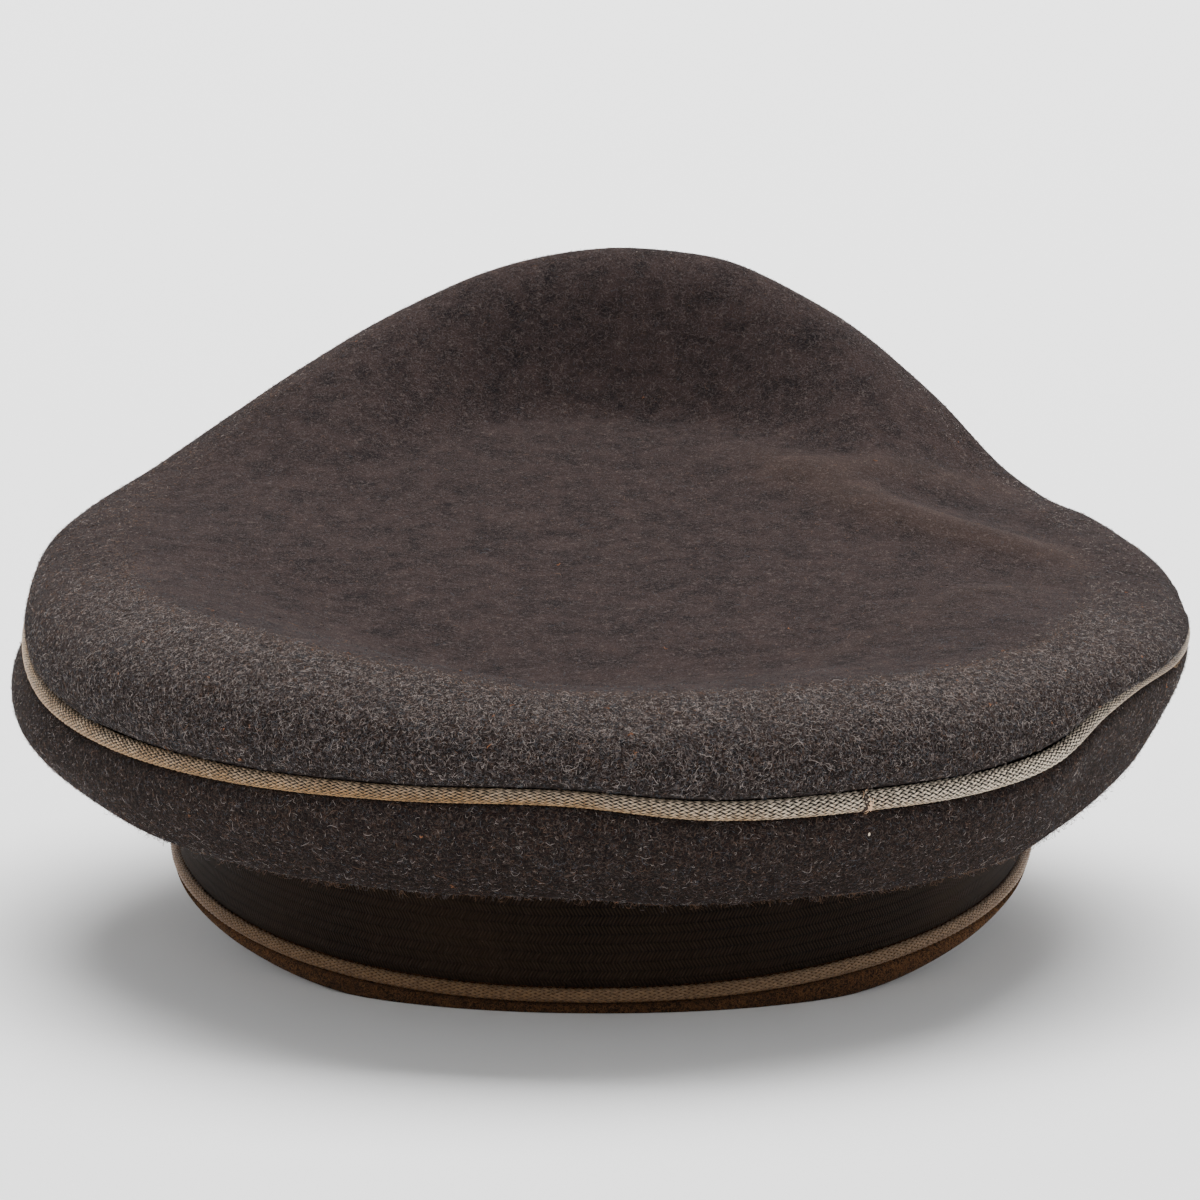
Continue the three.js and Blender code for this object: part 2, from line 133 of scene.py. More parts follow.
def column(table, columns, name):
    """A smooth curve round the cap through one column of a table whose first is the angle."""
    turn = np.array([row[0] for row in table], float)
    value = np.array([row[columns.index(name)] for row in table], float)
    turn = np.concatenate([turn[-2:] - 360, turn, turn[:2] + 360])
    value = np.concatenate([value[-2:], value, value[:2]])
    slope = np.gradient(value)
    slope[1:-1] = (value[2:] - value[:-2]) / (turn[2:] - turn[:-2])

    def at(deg):
        wrapped = (np.asarray(deg, float) + 180) % 360 - 180
        i = np.searchsorted(turn, wrapped, side="right") - 1
        span = turn[i + 1] - turn[i]
        u = (wrapped - turn[i]) / span
        return (value[i] * (2 * u ** 3 - 3 * u ** 2 + 1) + slope[i] * span * (u ** 3 - 2 * u ** 2 + u)
                + value[i + 1] * (3 * u ** 2 - 2 * u ** 3) + slope[i + 1] * span * (u ** 3 - u ** 2))
    return at


CROWN = {name: column(STATIONS, STATION_COLUMNS, name) for name in STATION_COLUMNS[1:]}
hem_z = column(HEM, HEM_COLUMNS, "hem_z")
lower_cord_z = column(HEM, HEM_COLUMNS, "cord_z")

# the angles at which the cloths and the band are drawn
ROUND = np.linspace(-180, 180, 361)


def plan(r, deg):
    """x and y of the points at a radius and an angle."""
    return r * np.sin(np.radians(deg)), -r * np.cos(np.radians(deg))


def unit(vectors):
    return vectors / np.linalg.norm(vectors, axis=-1, keepdims=True)


def band_radius(deg):
    across = np.abs(np.sin(np.radians(deg))) / HEAD["half_width"]
    along = np.abs(np.cos(np.radians(deg))) / HEAD["half_length"]
    power = HEAD["squareness"]
    return (across ** power + along ** power) ** (-1 / power)


def seam_radius(deg):
    across = np.sin(np.radians(deg)) / SEAM["half_width"]
    along = np.cos(np.radians(deg)) / np.where(np.abs(deg) < 90, SEAM["back"], SEAM["front"])
    return 1 / np.hypot(across, along) + CROWN["seam_out"](deg)


def smoothstep(value, low, high):
    share = np.clip((value - low) / (high - low), 0, 1)
    return share * share * (3 - 2 * share)


def dish_height(x, y):
    """Height of the flat of the top, a shallow bowl that climbs to the front."""
    bend = np.where(y < 0, DISH["behind"], DISH["ahead"])
    return DISH["z"] + DISH["climb"] * y + DISH["across"] * x ** 2 + bend * y ** 2


def fold_heights(x, y, sharpness=1.0):
    """What each fold adds to the height of the top."""
    heights = []
    for x0, y0, x1, y1, rise, half_width in FOLDS:
        length = math.hypot(x1 - x0, y1 - y0)
        dx, dy = (x1 - x0) / length, (y1 - y0) / length
        along = (x - x0) * dx + (y - y0) * dy
        aside = (x - x0) * dy - (y - y0) * dx
        beyond = np.maximum(0, np.maximum(-along, along - length))
        heights.append(rise * np.exp(-(sharpness * aside / half_width) ** 2
                                     - (beyond / (1.6 * half_width)) ** 2))
    return heights


def handling_waves(r, z, deg):
    """The cloth's soft unevenness from years of wear, as a sum of long waves in all directions."""
    count, shortest, longest, size = 26, 26, 80, 0.2 / 2.2
    rng = np.random.default_rng(11)
    x, y = plan(r, deg)
    total = np.zeros(np.broadcast(r, z).shape)
    for _ in range(count):
        direction = unit(rng.normal(size=3))
        length = rng.uniform(shortest, longest)
        phase = rng.uniform(0, 2 * np.pi)
        turn = 2 * np.pi / length * (direction[0] * x + direction[1] * y + direction[2] * z)
        total += np.sin(turn + phase) * (length / longest)
    return size * total


# ---- where the level frame lies in the part's frame ----

def rest_tilt():
    """The table touches the back of the foot and the bead of the peak: a line through the first
    that is tangent to the second gives the cap's tilt."""
    tip_y = band_radius(180) + PEAK["reach"]
    tip_z = hem_z(180) - CLEAR - PEAK["wall"] / 2 - PEAK["drop"]
    run, fall = tip_y - FOOT["y"], FOOT["z"] - tip_z
    return math.atan2(fall, run) + math.asin(PEAK["bead"] / math.hypot(run, fall))


TILT = rest_tilt()
BAND_BOX = [corner * 1000 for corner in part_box("band")]
SHIFT = np.array([
    (BAND_BOX[0].x + BAND_BOX[1].x) / 2,
    BAND_BOX[0].y + HEAD["half_length"] * math.cos(TILT) + BAND_TOP * math.sin(TILT),
    -FOOT["y"] * math.sin(TILT) - FOOT["z"] * math.cos(TILT),
])


def to_part(points):
    """Points of the level frame, in millimetres, as points of the part's frame, in metres."""
    x, y, z = points[..., 0], points[..., 1], points[..., 2]
    c, s = math.cos(TILT), math.sin(TILT)
    return (np.stack([x, y * c - z * s, y * s + z * c], -1) + SHIFT) / 1000


def from_part(points):
    """The way back: points of the part's frame, in metres, as points of the level frame."""
    x, y, z = np.moveaxis(points * 1000 - SHIFT, -1, 0)
    c, s = math.cos(TILT), math.sin(TILT)
    return np.stack([x, y * c + z * s, z * c - y * s], -1)


def round_cap(deg, path):
    """Sections [angle, point, (r, z)] as points in space."""
    return np.stack([*plan(path[..., 0], deg[:, None]), path[..., 1]], -1)


# ---- sections in the upright plane at each angle ----

def smooth_path(points, counts):
    """Centripetal curves through the given points, [angle, point, (r, z)], counts[i] of them from
    point i on. A count of 0 only shapes the next stretch."""
    points = np.stack([np.stack(np.broadcast_arrays(r, z), -1) for r, z in points], 1)
    first = 2 * points[:, :1] - points[:, 1:2]
    last = 2 * points[:, -1:] - points[:, -2:-1]
    points = np.concatenate([first, points, last], 1)
    path = []
    for i, count in enumerate(counts):
        p0, p1, p2, p3 = (points[:, i + k][:, None, :] for k in range(4))
        gaps = [np.sqrt(np.linalg.norm(b - a, axis=-1, keepdims=True)) + 1e-9
                for a, b in ((p0, p1), (p1, p2), (p2, p3))]
        slope_1 = (p1 - p0) / gaps[0] - (p2 - p0) / (gaps[0] + gaps[1]) + (p2 - p1) / gaps[1]
        slope_2 = (p2 - p1) / gaps[1] - (p3 - p1) / (gaps[1] + gaps[2]) + (p3 - p2) / gaps[2]
        slope_1, slope_2 = slope_1 * gaps[1], slope_2 * gaps[1]
        u = (np.arange(count) / max(count, 1))[None, :, None]
        path.append(p1 + slope_1 * u + (3 * (p2 - p1) - 2 * slope_1 - slope_2) * u ** 2
                    + (2 * (p1 - p2) + slope_1 + slope_2) * u ** 3)
    path.append(points[:, -2:-1])
    return np.concatenate(path, 1)


def normals_of(path):
    run = np.gradient(path, axis=1)
    run /= np.linalg.norm(run, axis=-1, keepdims=True) + 1e-12
    return np.stack([-run[..., 1], run[..., 0]], -1)


def seam_turn(seam, z, cord, side):
    """Both cloths turn in behind the cord, side = 1 above it and -1 below."""
    lip = CLOTH / 2 + CLEAR + GROOVE
    return [
        (seam - 0.1, z + side * (cord + lip)),
        (seam - cord - 0.5, z + side * (cord + 0.7)),
        (seam - cord - 1.6, z + side * 1.2),
        (seam - 6, z + side * 1.2),
    ]


def crown_path(flat_rows, roll_counts):
    """Middle line of the top's cloth, from the centre over the roll to the seam. flat_rows is the
    number of points on the flat, and roll_counts the number on each stretch from there on."""
    seam, seam_z = seam_radius(ROUND), CROWN["seam_z"](ROUND)
    crest_z = CROWN["crest_z"](ROUND) - CLOTH / 2
    crest = seam - CROWN["crest_in"](ROUND)
    outermost = seam + CROWN["lip"](ROUND) - CLOTH / 2

    def flat(share):
        x, y = plan(crest * share, ROUND)
        z = dish_height(x, y) - CLOTH / 2
        climb = (crest_z - z) * smoothstep(share, CROWN["dish"](ROUND), 1)
        folds = sum(fold_heights(x, y)) * (1 - smoothstep(share, 0.85, 1.05))
        return crest * share, z + climb + folds

    # even rows as far as this share of the way to the crest, and a curve through points from there
    edge = 0.86
    rows = [flat(edge * k / flat_rows) for k in range(flat_rows)]
    rows = np.stack([np.stack(row, -1) for row in rows], 1)
    roll = smooth_path([
        flat(0.79), flat(edge), flat(0.94), flat(1.0),
        (outermost - 0.2 * (outermost - crest), seam_z + 0.76 * (crest_z - seam_z)),
        (outermost, seam_z + 0.42 * (crest_z - seam_z)),
        *seam_turn(seam, seam_z, CROWN["cord"](ROUND), 1),
    ], [0, *roll_counts])
    return np.concatenate([rows, roll], 1)


def panel_path(counts):
    """Middle line of the side's cloth, from the top of the band down, out and up to the seam, with
    the given number of points on each stretch."""
    seam, band, seam_z = seam_radius(ROUND), band_radius(ROUND), CROWN["seam_z"](ROUND)
    sag_z = CROWN["sag_z"](ROUND) + CLOTH / 2
    return smooth_path([
        (band - BAND_WALL, BASE_TOP - CLOTH / 2 + CLEAR),
        (band + 2, BASE_TOP - CLOTH / 2),
        (band + (seam - band) * CROWN["sag_at"](ROUND), sag_z),
        (seam + CROWN["belly"](ROUND) - CLOTH / 2, (sag_z + seam_z) / 2),
        *seam_turn(seam, seam_z, CROWN["cord"](ROUND), -1),
    ], counts)


def worn(path, fade_from):
    """A path moved by the handling waves, which fade out where the cloth is sewn into the seam."""
    fade = 1 - smoothstep(np.linspace(0, 1, path.shape[1])[None, :], fade_from, 1)
    moved = handling_waves(path[..., 0], path[..., 1], ROUND[:, None]) * fade
    return path + normals_of(path) * moved[..., None]


# ---- meshes ----

def add_piece(name, mesh, material, slot, *nodes):
    """Adds a finished piece: it rides on the only body and stands for the given CAD nodes."""
    piece = bpy.data.objects.new(name, mesh)
    bpy.context.scene.collection.objects.link(piece)
    mesh.materials.append(material)
    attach(piece, "root")
    if nodes:
        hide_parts(*nodes)


def mesh_from(bm, name):
    mesh = bpy.data.meshes.new(name)
    bm.to_mesh(mesh)
    bm.free()
    return mesh


def body_of_patches(name, patches):
    """Joins grids into one closed, smooth body. A patch is its points, [across, up, 3], and its
    places in the unrolled chart of the body, [across, up, 2]."""
    bm = bmesh.new()
    chart_layer = bm.loops.layers.uv.new("OFBake")
    charts = []
    for points, chart in patches:
        across, up = points.shape[0] - 1, points.shape[1] - 1
        grid = bmesh.ops.create_grid(bm, x_segments=across, y_segments=up, size=0.5)["verts"]
        place = to_part(points)
        for vert in grid:
            i = round((vert.co.x + 0.5) * across)
            j = round((vert.co.y + 0.5) * up)
            vert.co = place[i, j]
            charts.append(chart[i, j])
    bm.verts.index_update()
    for face in bm.faces:
        face.smooth = True
        for loop in face.loops:
            loop[chart_layer].uv = charts[loop.vert.index]
    bmesh.ops.remove_doubles(bm, verts=bm.verts, dist=1e-6)
    bmesh.ops.holes_fill(bm, edges=[edge for edge in bm.edges if edge.is_boundary], sides=0)
    bmesh.ops.recalc_face_normals(bm, faces=bm.faces)
    return mesh_from(bm, name)


def chart_grid(u, v):
    """Chart places for every pair of the values along and across a patch."""
    return np.stack(np.meshgrid(u, v, indexing="ij"), -1)


# what stays free round each strip of a chart, as shares of its length and width
STRIP_MARGIN = {"end": 0.002, "side": 0.03}


def ring_patches(points, strips):
    """A ring with one closed section per angle, [angle, point, 3], unrolled as strips that lie over
    each other in the chart."""
    end, side = STRIP_MARGIN["end"], STRIP_MARGIN["side"]
    step = (points.shape[0] - 1) // strips
    along = np.linspace(end, 1 - end, step + 1)
    across = np.linspace(side, 1 - side, points.shape[1])
    return [(points[k * step:(k + 1) * step + 1], chart_grid(along, (k + across) / strips))
            for k in range(strips)]


def closed(*paths):
    """Paths joined end to end into one closed section."""
    return np.concatenate([*paths, paths[0][:, :1]], 1)


def many(name, count, along, across, place, charts=()):
    """One smooth mesh of many small strips. place(t, w) gives all their points, [strip, point, 3],
    from the shares along and across; charts are (name, function of t and w) for its UV maps."""
    bm = bmesh.new()
    bmesh.ops.create_grid(bm, x_segments=along, y_segments=across, size=0.5)
    local = np.array([vert.co[:2] for vert in bm.verts]) + 0.5
    quads = np.array([[vert.index for vert in face.verts] for face in bm.faces])
    bm.free()
    points = to_part(place(local[:, 0], local[:, 1]))
    faces = (quads[None] + (np.arange(count) * len(local))[:, None, None]).reshape(-1, 4)
    mesh = bpy.data.meshes.new(name)
    mesh.from_pydata(points.reshape(-1, 3), [], faces)
    for chart_name, chart in charts:
        flat = np.broadcast_to(chart(local[:, 0], local[:, 1]), (count, len(local), 2)).reshape(-1, 2)
        layer = mesh.uv_layers.new(name=chart_name)
        layer.data.foreach_set("uv", flat[faces.ravel()].astype(np.float32).ravel())
    mesh.polygons.foreach_set("use_smooth", np.full(len(faces), True))
    mesh.update()
    return mesh


def past_the_crest(points):
    """How far out from the crest of the roll each point of the top lies, in millimetres, and its
    angle round the cap in degrees."""
    x, y = points[..., 0], points[..., 1]
    deg = np.degrees(np.arctan2(x, -y))
    crest = seam_radius(deg) - CROWN["crest_in"](deg)
    return np.hypot(x, y) - crest, deg


def climb_to_crest(points):
    """Share of the roll's height, from 0 at the cord to 1 at the crest."""
    _, deg = past_the_crest(points)
    low, high = CROWN["seam_z"](deg), CROWN["crest_z"](deg)
    return np.clip((points[..., 2] - low) / (high - low), 0, 1)


def kept_nap(deg):
    """How much of its nap the roll still has: all of it at the back, less at the sides and front."""
    return 1 - 0.9 * smoothstep(np.abs(deg), 32, 88)


def mark_wear_and_light(mesh):
    """Stores three marks on the points of the top, for its wool to read: worn_flat is 1 inside the
    roll, where the nap is gone; the second is 1 on the folds and on the roll's crest, which are made
    lighter partly for wear and partly as a painted highlight; and the third is painted shade, rising
    from 0 at the crest to 1 at the cord, where the roll overhangs it."""
    place = np.empty(len(mesh.vertices) * 3, np.float32)
    mesh.vertices.foreach_get("co", place)
    points = from_part(place.reshape(-1, 3).astype(float))
    past, deg = past_the_crest(points)
    worn_flat = 1 - smoothstep(past, -9, 3) * kept_nap(deg)
    ridges = [np.clip(height, 0, None) for height in fold_heights(points[:, 0], points[:, 1], 1.2)]
    # the folds and the roll's crest are made lighter, partly for wear and partly as a painted highlight
    on_crest = 0.7 * np.exp(-((past + 1.5) / 1.6) ** 2) * kept_nap(deg)
    rubbed_and_highlit = np.clip(sum(ridges) / 1.6 * (1 - smoothstep(past, -3, 4)) + on_crest, 0, 1)
    # painted shade: darker from the crest down to the cord, under the overhanging roll
    soiled = (1 - climb_to_crest(points)) * smoothstep(past, -2, 3)
    for name, values in (("worn_flat", worn_flat), ("rubbed_and_highlit", rubbed_and_highlit), ("soiled", soiled)):
        mark = mesh.attributes.new(name, "FLOAT", "POINT")
        mark.data.foreach_set("value", values.astype(np.float32))


# ---- materials ----

def linear(hex_colour):
    """An sRGB hex colour as the linear colour that a socket takes."""
    parts = [int(hex_colour[k:k + 2], 16) / 255 for k in (1, 3, 5)]
    return (*[p / 12.92 if p <= 0.04045 else ((p + 0.055) / 1.055) ** 2.4 for p in parts], 1.0)


def per_metre(mm):
    """The scale that gives a pattern a feature size in millimetres, on coordinates in metres."""
    return 1000 / mm


def add_node(tree, kind, *values, **named):
    """Adds a node. A name in small letters is one of its settings, and any other is one of its
    inputs, with _ for a space; plain values go to its first inputs. Each input is set, or linked
    to the given socket, or to the first output of the given node."""
    node = tree.nodes.new("ShaderNode" + kind)
    for name in [name for name in named if name.islower()]:
        setattr(node, name, named.pop(name))
    in_use = [socket for socket in node.inputs if socket.enabled]
    by_name = {socket.name.replace(" ", "_"): socket for socket in in_use}
    sockets = in_use[:len(values)] + [by_name[name] for name in named]
    for socket, value in zip(sockets, [*values, *named.values()]):
        if isinstance(value, bpy.types.Node):
            value = next(output for output in value.outputs if output.enabled)
        if isinstance(value, bpy.types.NodeSocket):
            tree.links.new(value, socket)
        else:
            socket.default_value = value
    return node


def new_material(name):
    """An empty material, and add_node for its tree."""
    material = bpy.data.materials.new(name)
    material.use_nodes = True
    material.node_tree.nodes.clear()
    return material, functools.partial(add_node, material.node_tree)


def plain_material(name, colour, roughness, **more):
    """The finish of what is too fine or too small to show a pattern."""
    material, add = new_material(name)
    add("OutputMaterial", add("BsdfPrincipled", Base_Color=linear(colour), Roughness=roughness, **more))
    return material


def fibre_lines(add, place, seed, size, width):
    """Curled lines for the felt's fibres: where a noise crosses its middle value. Real wool fibres
    are 0.02 to 0.04 mm thick, too fine to show, so these are drawn about 0.1 mm thick."""
    moved = add("Mapping", place, Location=(seed * 0.37, seed * 0.11, seed * 0.23))
    noise = add("TexNoise", Vector=moved, Scale=per_metre(size), Detail=1.0, Distortion=0.8)
    off_middle = add("Math", add("Math", noise, 0.5, operation="SUBTRACT"), operation="ABSOLUTE")
    return add("MapRange", off_middle, From_Min=width, From_Max=0.0, interpolation_type="SMOOTHSTEP")


def wool_felt(name, warm, cool, fibres, fine_bump=0.8, worn_warm=None, worn_cool=None,
              foot_height=0.0):
    """Melange wool felt, milled and worn: a dark ground with curled fibres in several greys, so
    the eye sees salt-and-pepper hairs near by and soft mottling further off. Where the nap is worn
    away the fibres show less and the felt is smoother and mottled mauve and brown. Its folds and the
    roll's crest are lighter and warmer, partly for wear and partly as a painted highlight. It is
    painted darker towards the cord, as shade under the roll, and is darker below foot_height. fibres
    are (colour, size in mm, width, share) of each kind."""
    material, add = new_material(name)
    place = add("TexCoord").outputs["Object"]
    flat, rubbed_and_highlit, soiled = [add("Attribute", attribute_name=mark).outputs["Fac"]
                            for mark in ("worn_flat", "rubbed_and_highlit", "soiled")]
    clouds, blotches, tufts = [
        add("TexNoise", Vector=place, Scale=per_metre(size), Detail=3.0, Roughness=rough)
        for size, rough in ((11, 0.6), (4.5, 0.6), (2.6, 0.65))]
    shade = add("MapRange", clouds, From_Min=0.36, From_Max=0.64)
    mottle = add("MapRange", blotches, From_Min=0.34, From_Max=0.66)
    mottle = add("Math", mottle, 0.6, operation="MULTIPLY")
    mottle = add("Math", shade, 0.4, mottle, operation="MULTIPLY_ADD")
    fresh = add("Mix", shade, linear(warm), linear(cool), data_type="RGBA")
    worn = add("Mix", mottle, linear(worn_warm or warm), linear(worn_cool or cool), data_type="RGBA")
    colour = add("Mix", flat, fresh, worn, data_type="RGBA")

    cover = add("MapRange", tufts, From_Min=0.3, From_Max=0.6, To_Min=0.5)
    thinned = add("Math", flat, -0.6, 1.0, operation="MULTIPLY_ADD")
    cover = add("Math", cover, thinned, operation="MULTIPLY")
    height = tufts
    for seed, (tone, size, width, share) in enumerate(fibres, 1):
        line = fibre_lines(add, place, seed, size, width)
        shown = add("Math", line, cover, operation="MULTIPLY")
        shown = add("Math", shown, share, operation="MULTIPLY")
        colour = add("Mix", shown, colour, linear(tone), data_type="RGBA")
        height = add("Math", line, 0.35, height, operation="MULTIPLY_ADD")

    # lighter and warmer on the folds and the crest: partly wear, partly a painted highlight
    marks = [(add("Math", rubbed_and_highlit, 0.17, operation="MULTIPLY"), "#5c4a40"),
             # painted shade, darker towards the cord
             (add("Math", soiled, 0.7, operation="MULTIPLY"), "#0c0a0a")]
    if foot_height:
        high = add("SeparateXYZ", place).outputs["Z"]
        # darker towards the foot, below foot_height
        darker_to_foot = add("MapRange", high, From_Min=0.0, From_Max=foot_height, To_Min=0.5, To_Max=0.0)
        marks.append((darker_to_foot, "#0c0908"))
    for share, tone in marks:
        colour = add("Mix", share, colour, linear(tone), data_type="RGBA")
    bump = add("Bump", Strength=fine_bump, Distance=0.0003, Height=height)
    add("OutputMaterial", add("BsdfPrincipled", Base_Color=colour, Normal=bump, Roughness=0.95,
                              Specular_IOR_Level=0.04, Sheen_Weight=0.03, Sheen_Roughness=0.6,
                              Sheen_Tint=linear("#b9aaa4")))
    return material


# ---- the wool crown ----

CROWN_WOOL = wool_felt(
    "milled_wool_felt_top", "#1b1514", "#151314",
    (("#40332f", 0.5, 0.085, 0.9), ("#4a3a31", 0.8, 0.062, 0.8), ("#3a3b3c", 0.7, 0.056, 0.8),
     ("#7a6d68", 1.0, 0.042, 0.9)), worn_warm="#362b2a", worn_cool="#110f13")
PANEL_WOOL = wool_felt(
    "milled_wool_felt_side", "#130e0c", "#100c0d",
    (("#2a2220", 0.5, 0.085, 0.9), ("#382820", 0.8, 0.062, 0.8), ("#262829", 0.7, 0.056, 0.8),
     ("#52463f", 1.0, 0.042, 0.8)))


def disc_chart(share, centre, radius):
    """Chart places on a disc: the way round is the angle and the way out is the share."""
    return centre + np.stack(plan(radius * share[None, :], ROUND[:, None]), -1)


def build_crown():
    """The top: a fine outside and a coarse inside, which meet at the edge in the seam."""
    middle = worn(crown_path(58, [6, 5, 11, 8, 8, 5, 2, 3]), 0.93)
    outside = middle + normals_of(middle) * CLOTH / 2
    outside[:, 0, 0] = 0
    coarse = worn(crown_path(10, [1, 1, 2, 2, 2, 2, 1, 1]), 0.9)
    inside = (coarse - normals_of(coarse) * CLOTH / 2)[:, ::-1]
    inside[:, -1, 0] = 0
    inside = np.concatenate([outside[:, -1:], inside], 1)
    length = np.cumsum(np.linalg.norm(np.diff(outside[len(ROUND) // 4], axis=0), axis=-1))
    share = np.concatenate([[0], length / length[-1]])
    mesh = body_of_patches("crown_cloth", [
        (round_cap(ROUND, outside), disc_chart(share, 0.5, 0.499)),
        (round_cap(ROUND, inside), disc_chart(np.linspace(1, 0, inside.shape[1]), 0.914, 0.083)),
    ])
    mark_wear_and_light(mesh)
    add_piece("crown_cloth", mesh, CROWN_WOOL, "crown_wool", "crown_top")
    return round_cap(ROUND, outside)


def build_panel():
    """The side, fine outside and coarse inside."""
    middle = worn(panel_path([2, 9, 15, 12, 6, 2, 2]), 0.9)
    outside = middle - normals_of(middle) * CLOTH / 2
    coarse = worn(panel_path([1, 3, 4, 3, 2, 1, 1]), 0.9)
    inside = (coarse + normals_of(coarse) * CLOTH / 2)[:, ::-1]
    ring = round_cap(ROUND, closed(outside, inside))
    mesh = body_of_patches("side_cloth", ring_patches(ring, 6))
    add_piece("side_cloth", mesh, PANEL_WOOL, "side_wool", "side_panel")
    return round_cap(ROUND, outside)


crown_surface = build_crown()
panel_surface = build_panel()


# ---- the plaited cords ----

def plaited_metal(name, silver, tan, soil_and_shade, tan_from, tan_to, slit):
    """Plaited cord of metal-wrapped cotton, dulled and handled: each float catches the light like
    satin, and the ends and sides of the floats and the lines between their strands are darker as
    far as slit says, partly for soiling and partly as painted shade. It is tan where it has worn, on
    the left and at the far right, and tan underneath partly for wear and partly as painted shade.
    It is tan up to x = tan_from and silver from tan_to on, in millimetres."""
    material, add = new_material(name)
    coordinates = add("TexCoord")
    place = coordinates.outputs["Object"]
    across = add("SeparateXYZ", place)
    facing_up = add("SeparateXYZ", coordinates.outputs["Normal"]).outputs["Z"]
    side = add("MapRange", across, From_Min=tan_from / 1000, From_Max=tan_to / 1000)
    far_right = add("MapRange", across, From_Min=0.082, From_Max=0.108, To_Max=0.9)
    # tan underneath, where the cord faces down: partly wear and partly painted shade
    under = add("MapRange", facing_up, From_Min=-0.75, From_Max=0.25, To_Min=-0.55, To_Max=0.0)
    patchy = add("TexNoise", Vector=place, Scale=per_metre(7), Detail=4.0, Roughness=0.6)
    silvery = add("Math", patchy, 0.9, side, operation="MULTIPLY_ADD")
    silvery = add("Math", silvery, under, operation="ADD")
    silvery = add("Math", silvery, far_right, operation="SUBTRACT")
    silvery = add("MapRange", silvery, From_Min=0.15, From_Max=1.15)
    colour = add("Mix", silvery, linear(tan), linear(silver), data_type="RGBA")

    float_tone = add("SeparateXYZ", add("UVMap", uv_map="float_tone"))
    thread = add("SeparateXYZ", add("UVMap", uv_map="yarn"))
    rims = []
    # the floats' ends and sides are darkened: partly soiling, partly painted shade in the gaps
    for way, reach in ((thread.outputs["Y"], 2.0), (thread.outputs["X"], 2.05)):
        rim = add("Math", add("Math", way, 0.5, operation="SUBTRACT"), operation="ABSOLUTE")
        rim = add("Math", rim, reach, operation="MULTIPLY")
        rims.append(add("Math", rim, 4.0, operation="POWER"))
    grime = add("TexNoise", Vector=place, Scale=per_metre(0.9))
    grime = add("MapRange", grime, From_Min=0.55, From_Max=0.8, To_Max=0.6)
    dirt_and_shade = add("Math", add("Math", *rims, operation="MAXIMUM"), slit, grime, operation="MULTIPLY_ADD")
    strands_in_float = 2      # as coarse as they have to be to show
    # the lines between a float's strands are darkened as painted shade
    strands = add("Math", thread.outputs["Y"], 2 * math.pi * strands_in_float, operation="MULTIPLY")
    strands = add("Math", strands, operation="SINE")
    for share in (add("Math", far_right, 0.4, operation="MULTIPLY"),
                  add("Math", float_tone, 0.4, operation="MULTIPLY"),
                  add("Clamp", dirt_and_shade),
                  add("MapRange", strands, From_Min=-0.5, From_Max=-1.0, To_Max=0.6 * slit)):
        colour = add("Mix", share, colour, linear(soil_and_shade), data_type="RGBA")
    bump = add("Bump", Strength=0.6, Distance=0.00008, Height=strands)
    add("OutputMaterial", add("BsdfPrincipled", Base_Color=colour, Normal=bump, Roughness=0.36,
                              Metallic=0.45))
    return material


def cord_line(radius_at, height_at, size_at):
    """A cord's line round the cap: at(distance along it) gives its middle, its directions out and
    up and its half thickness. Also the angles round the cap and the distances that belong together."""
    deg = np.linspace(-180, 180, 2881)
    line = round_cap(deg, np.stack([radius_at(deg), height_at(deg)], -1)[:, None])[:, 0]
    run = np.concatenate([[0], np.cumsum(np.linalg.norm(np.diff(line, axis=0), axis=1))])
    tangent = np.gradient(line, axis=0)
    tangent[0] = tangent[-1] = tangent[0] + tangent[-1]
    tangent = unit(tangent)
    out = np.stack([*plan(1, deg), 0 * deg], 1)
    out = unit(out - tangent * (out * tangent).sum(1, keepdims=True))
    up = np.cross(out, tangent)
    up *= np.sign(up[:, 2:3])
    columns = np.concatenate([line, out, up, size_at(deg)[:, None]], 1).T

    def at(distance):
        found = np.stack([np.interp(distance % run[-1], run, values) for values in columns], -1)
        return found[..., 0:3], found[..., 3:6], found[..., 6:9], found[..., 9]
    return at, deg, run


def round_core(middle, size, angle, out, up):
    """Points at an angle round a cord's line, size away from its middle."""
    return middle + size[..., None] * (np.cos(angle)[..., None] * out + np.sin(angle)[..., None] * up)


def plait_floats(length, lay, pairs, half_arc):
    """Middles of the floats of a one-over-one plait that face outwards: the distance along the cord,
    the angle round it (0 faces out) and the way the float runs, +1 or -1. pairs is the number of
    threads that run each way, and lay the length of one full turn of a thread."""
    turns = round(length / lay)
    step = length / (2 * pairs * turns)
    rows = np.arange(-pairs, pairs)
    rows = rows[np.abs(rows) * np.pi / pairs <= half_arc]
    place, row = np.meshgrid(np.arange(pairs * turns) * 2.0, rows)
    odd = row % 2
    distance = (place + odd) * step
    found = np.stack([distance.ravel(), (row * np.pi / pairs).ravel(), (1 - 2.0 * odd).ravel()], 1)
    return found, length / turns


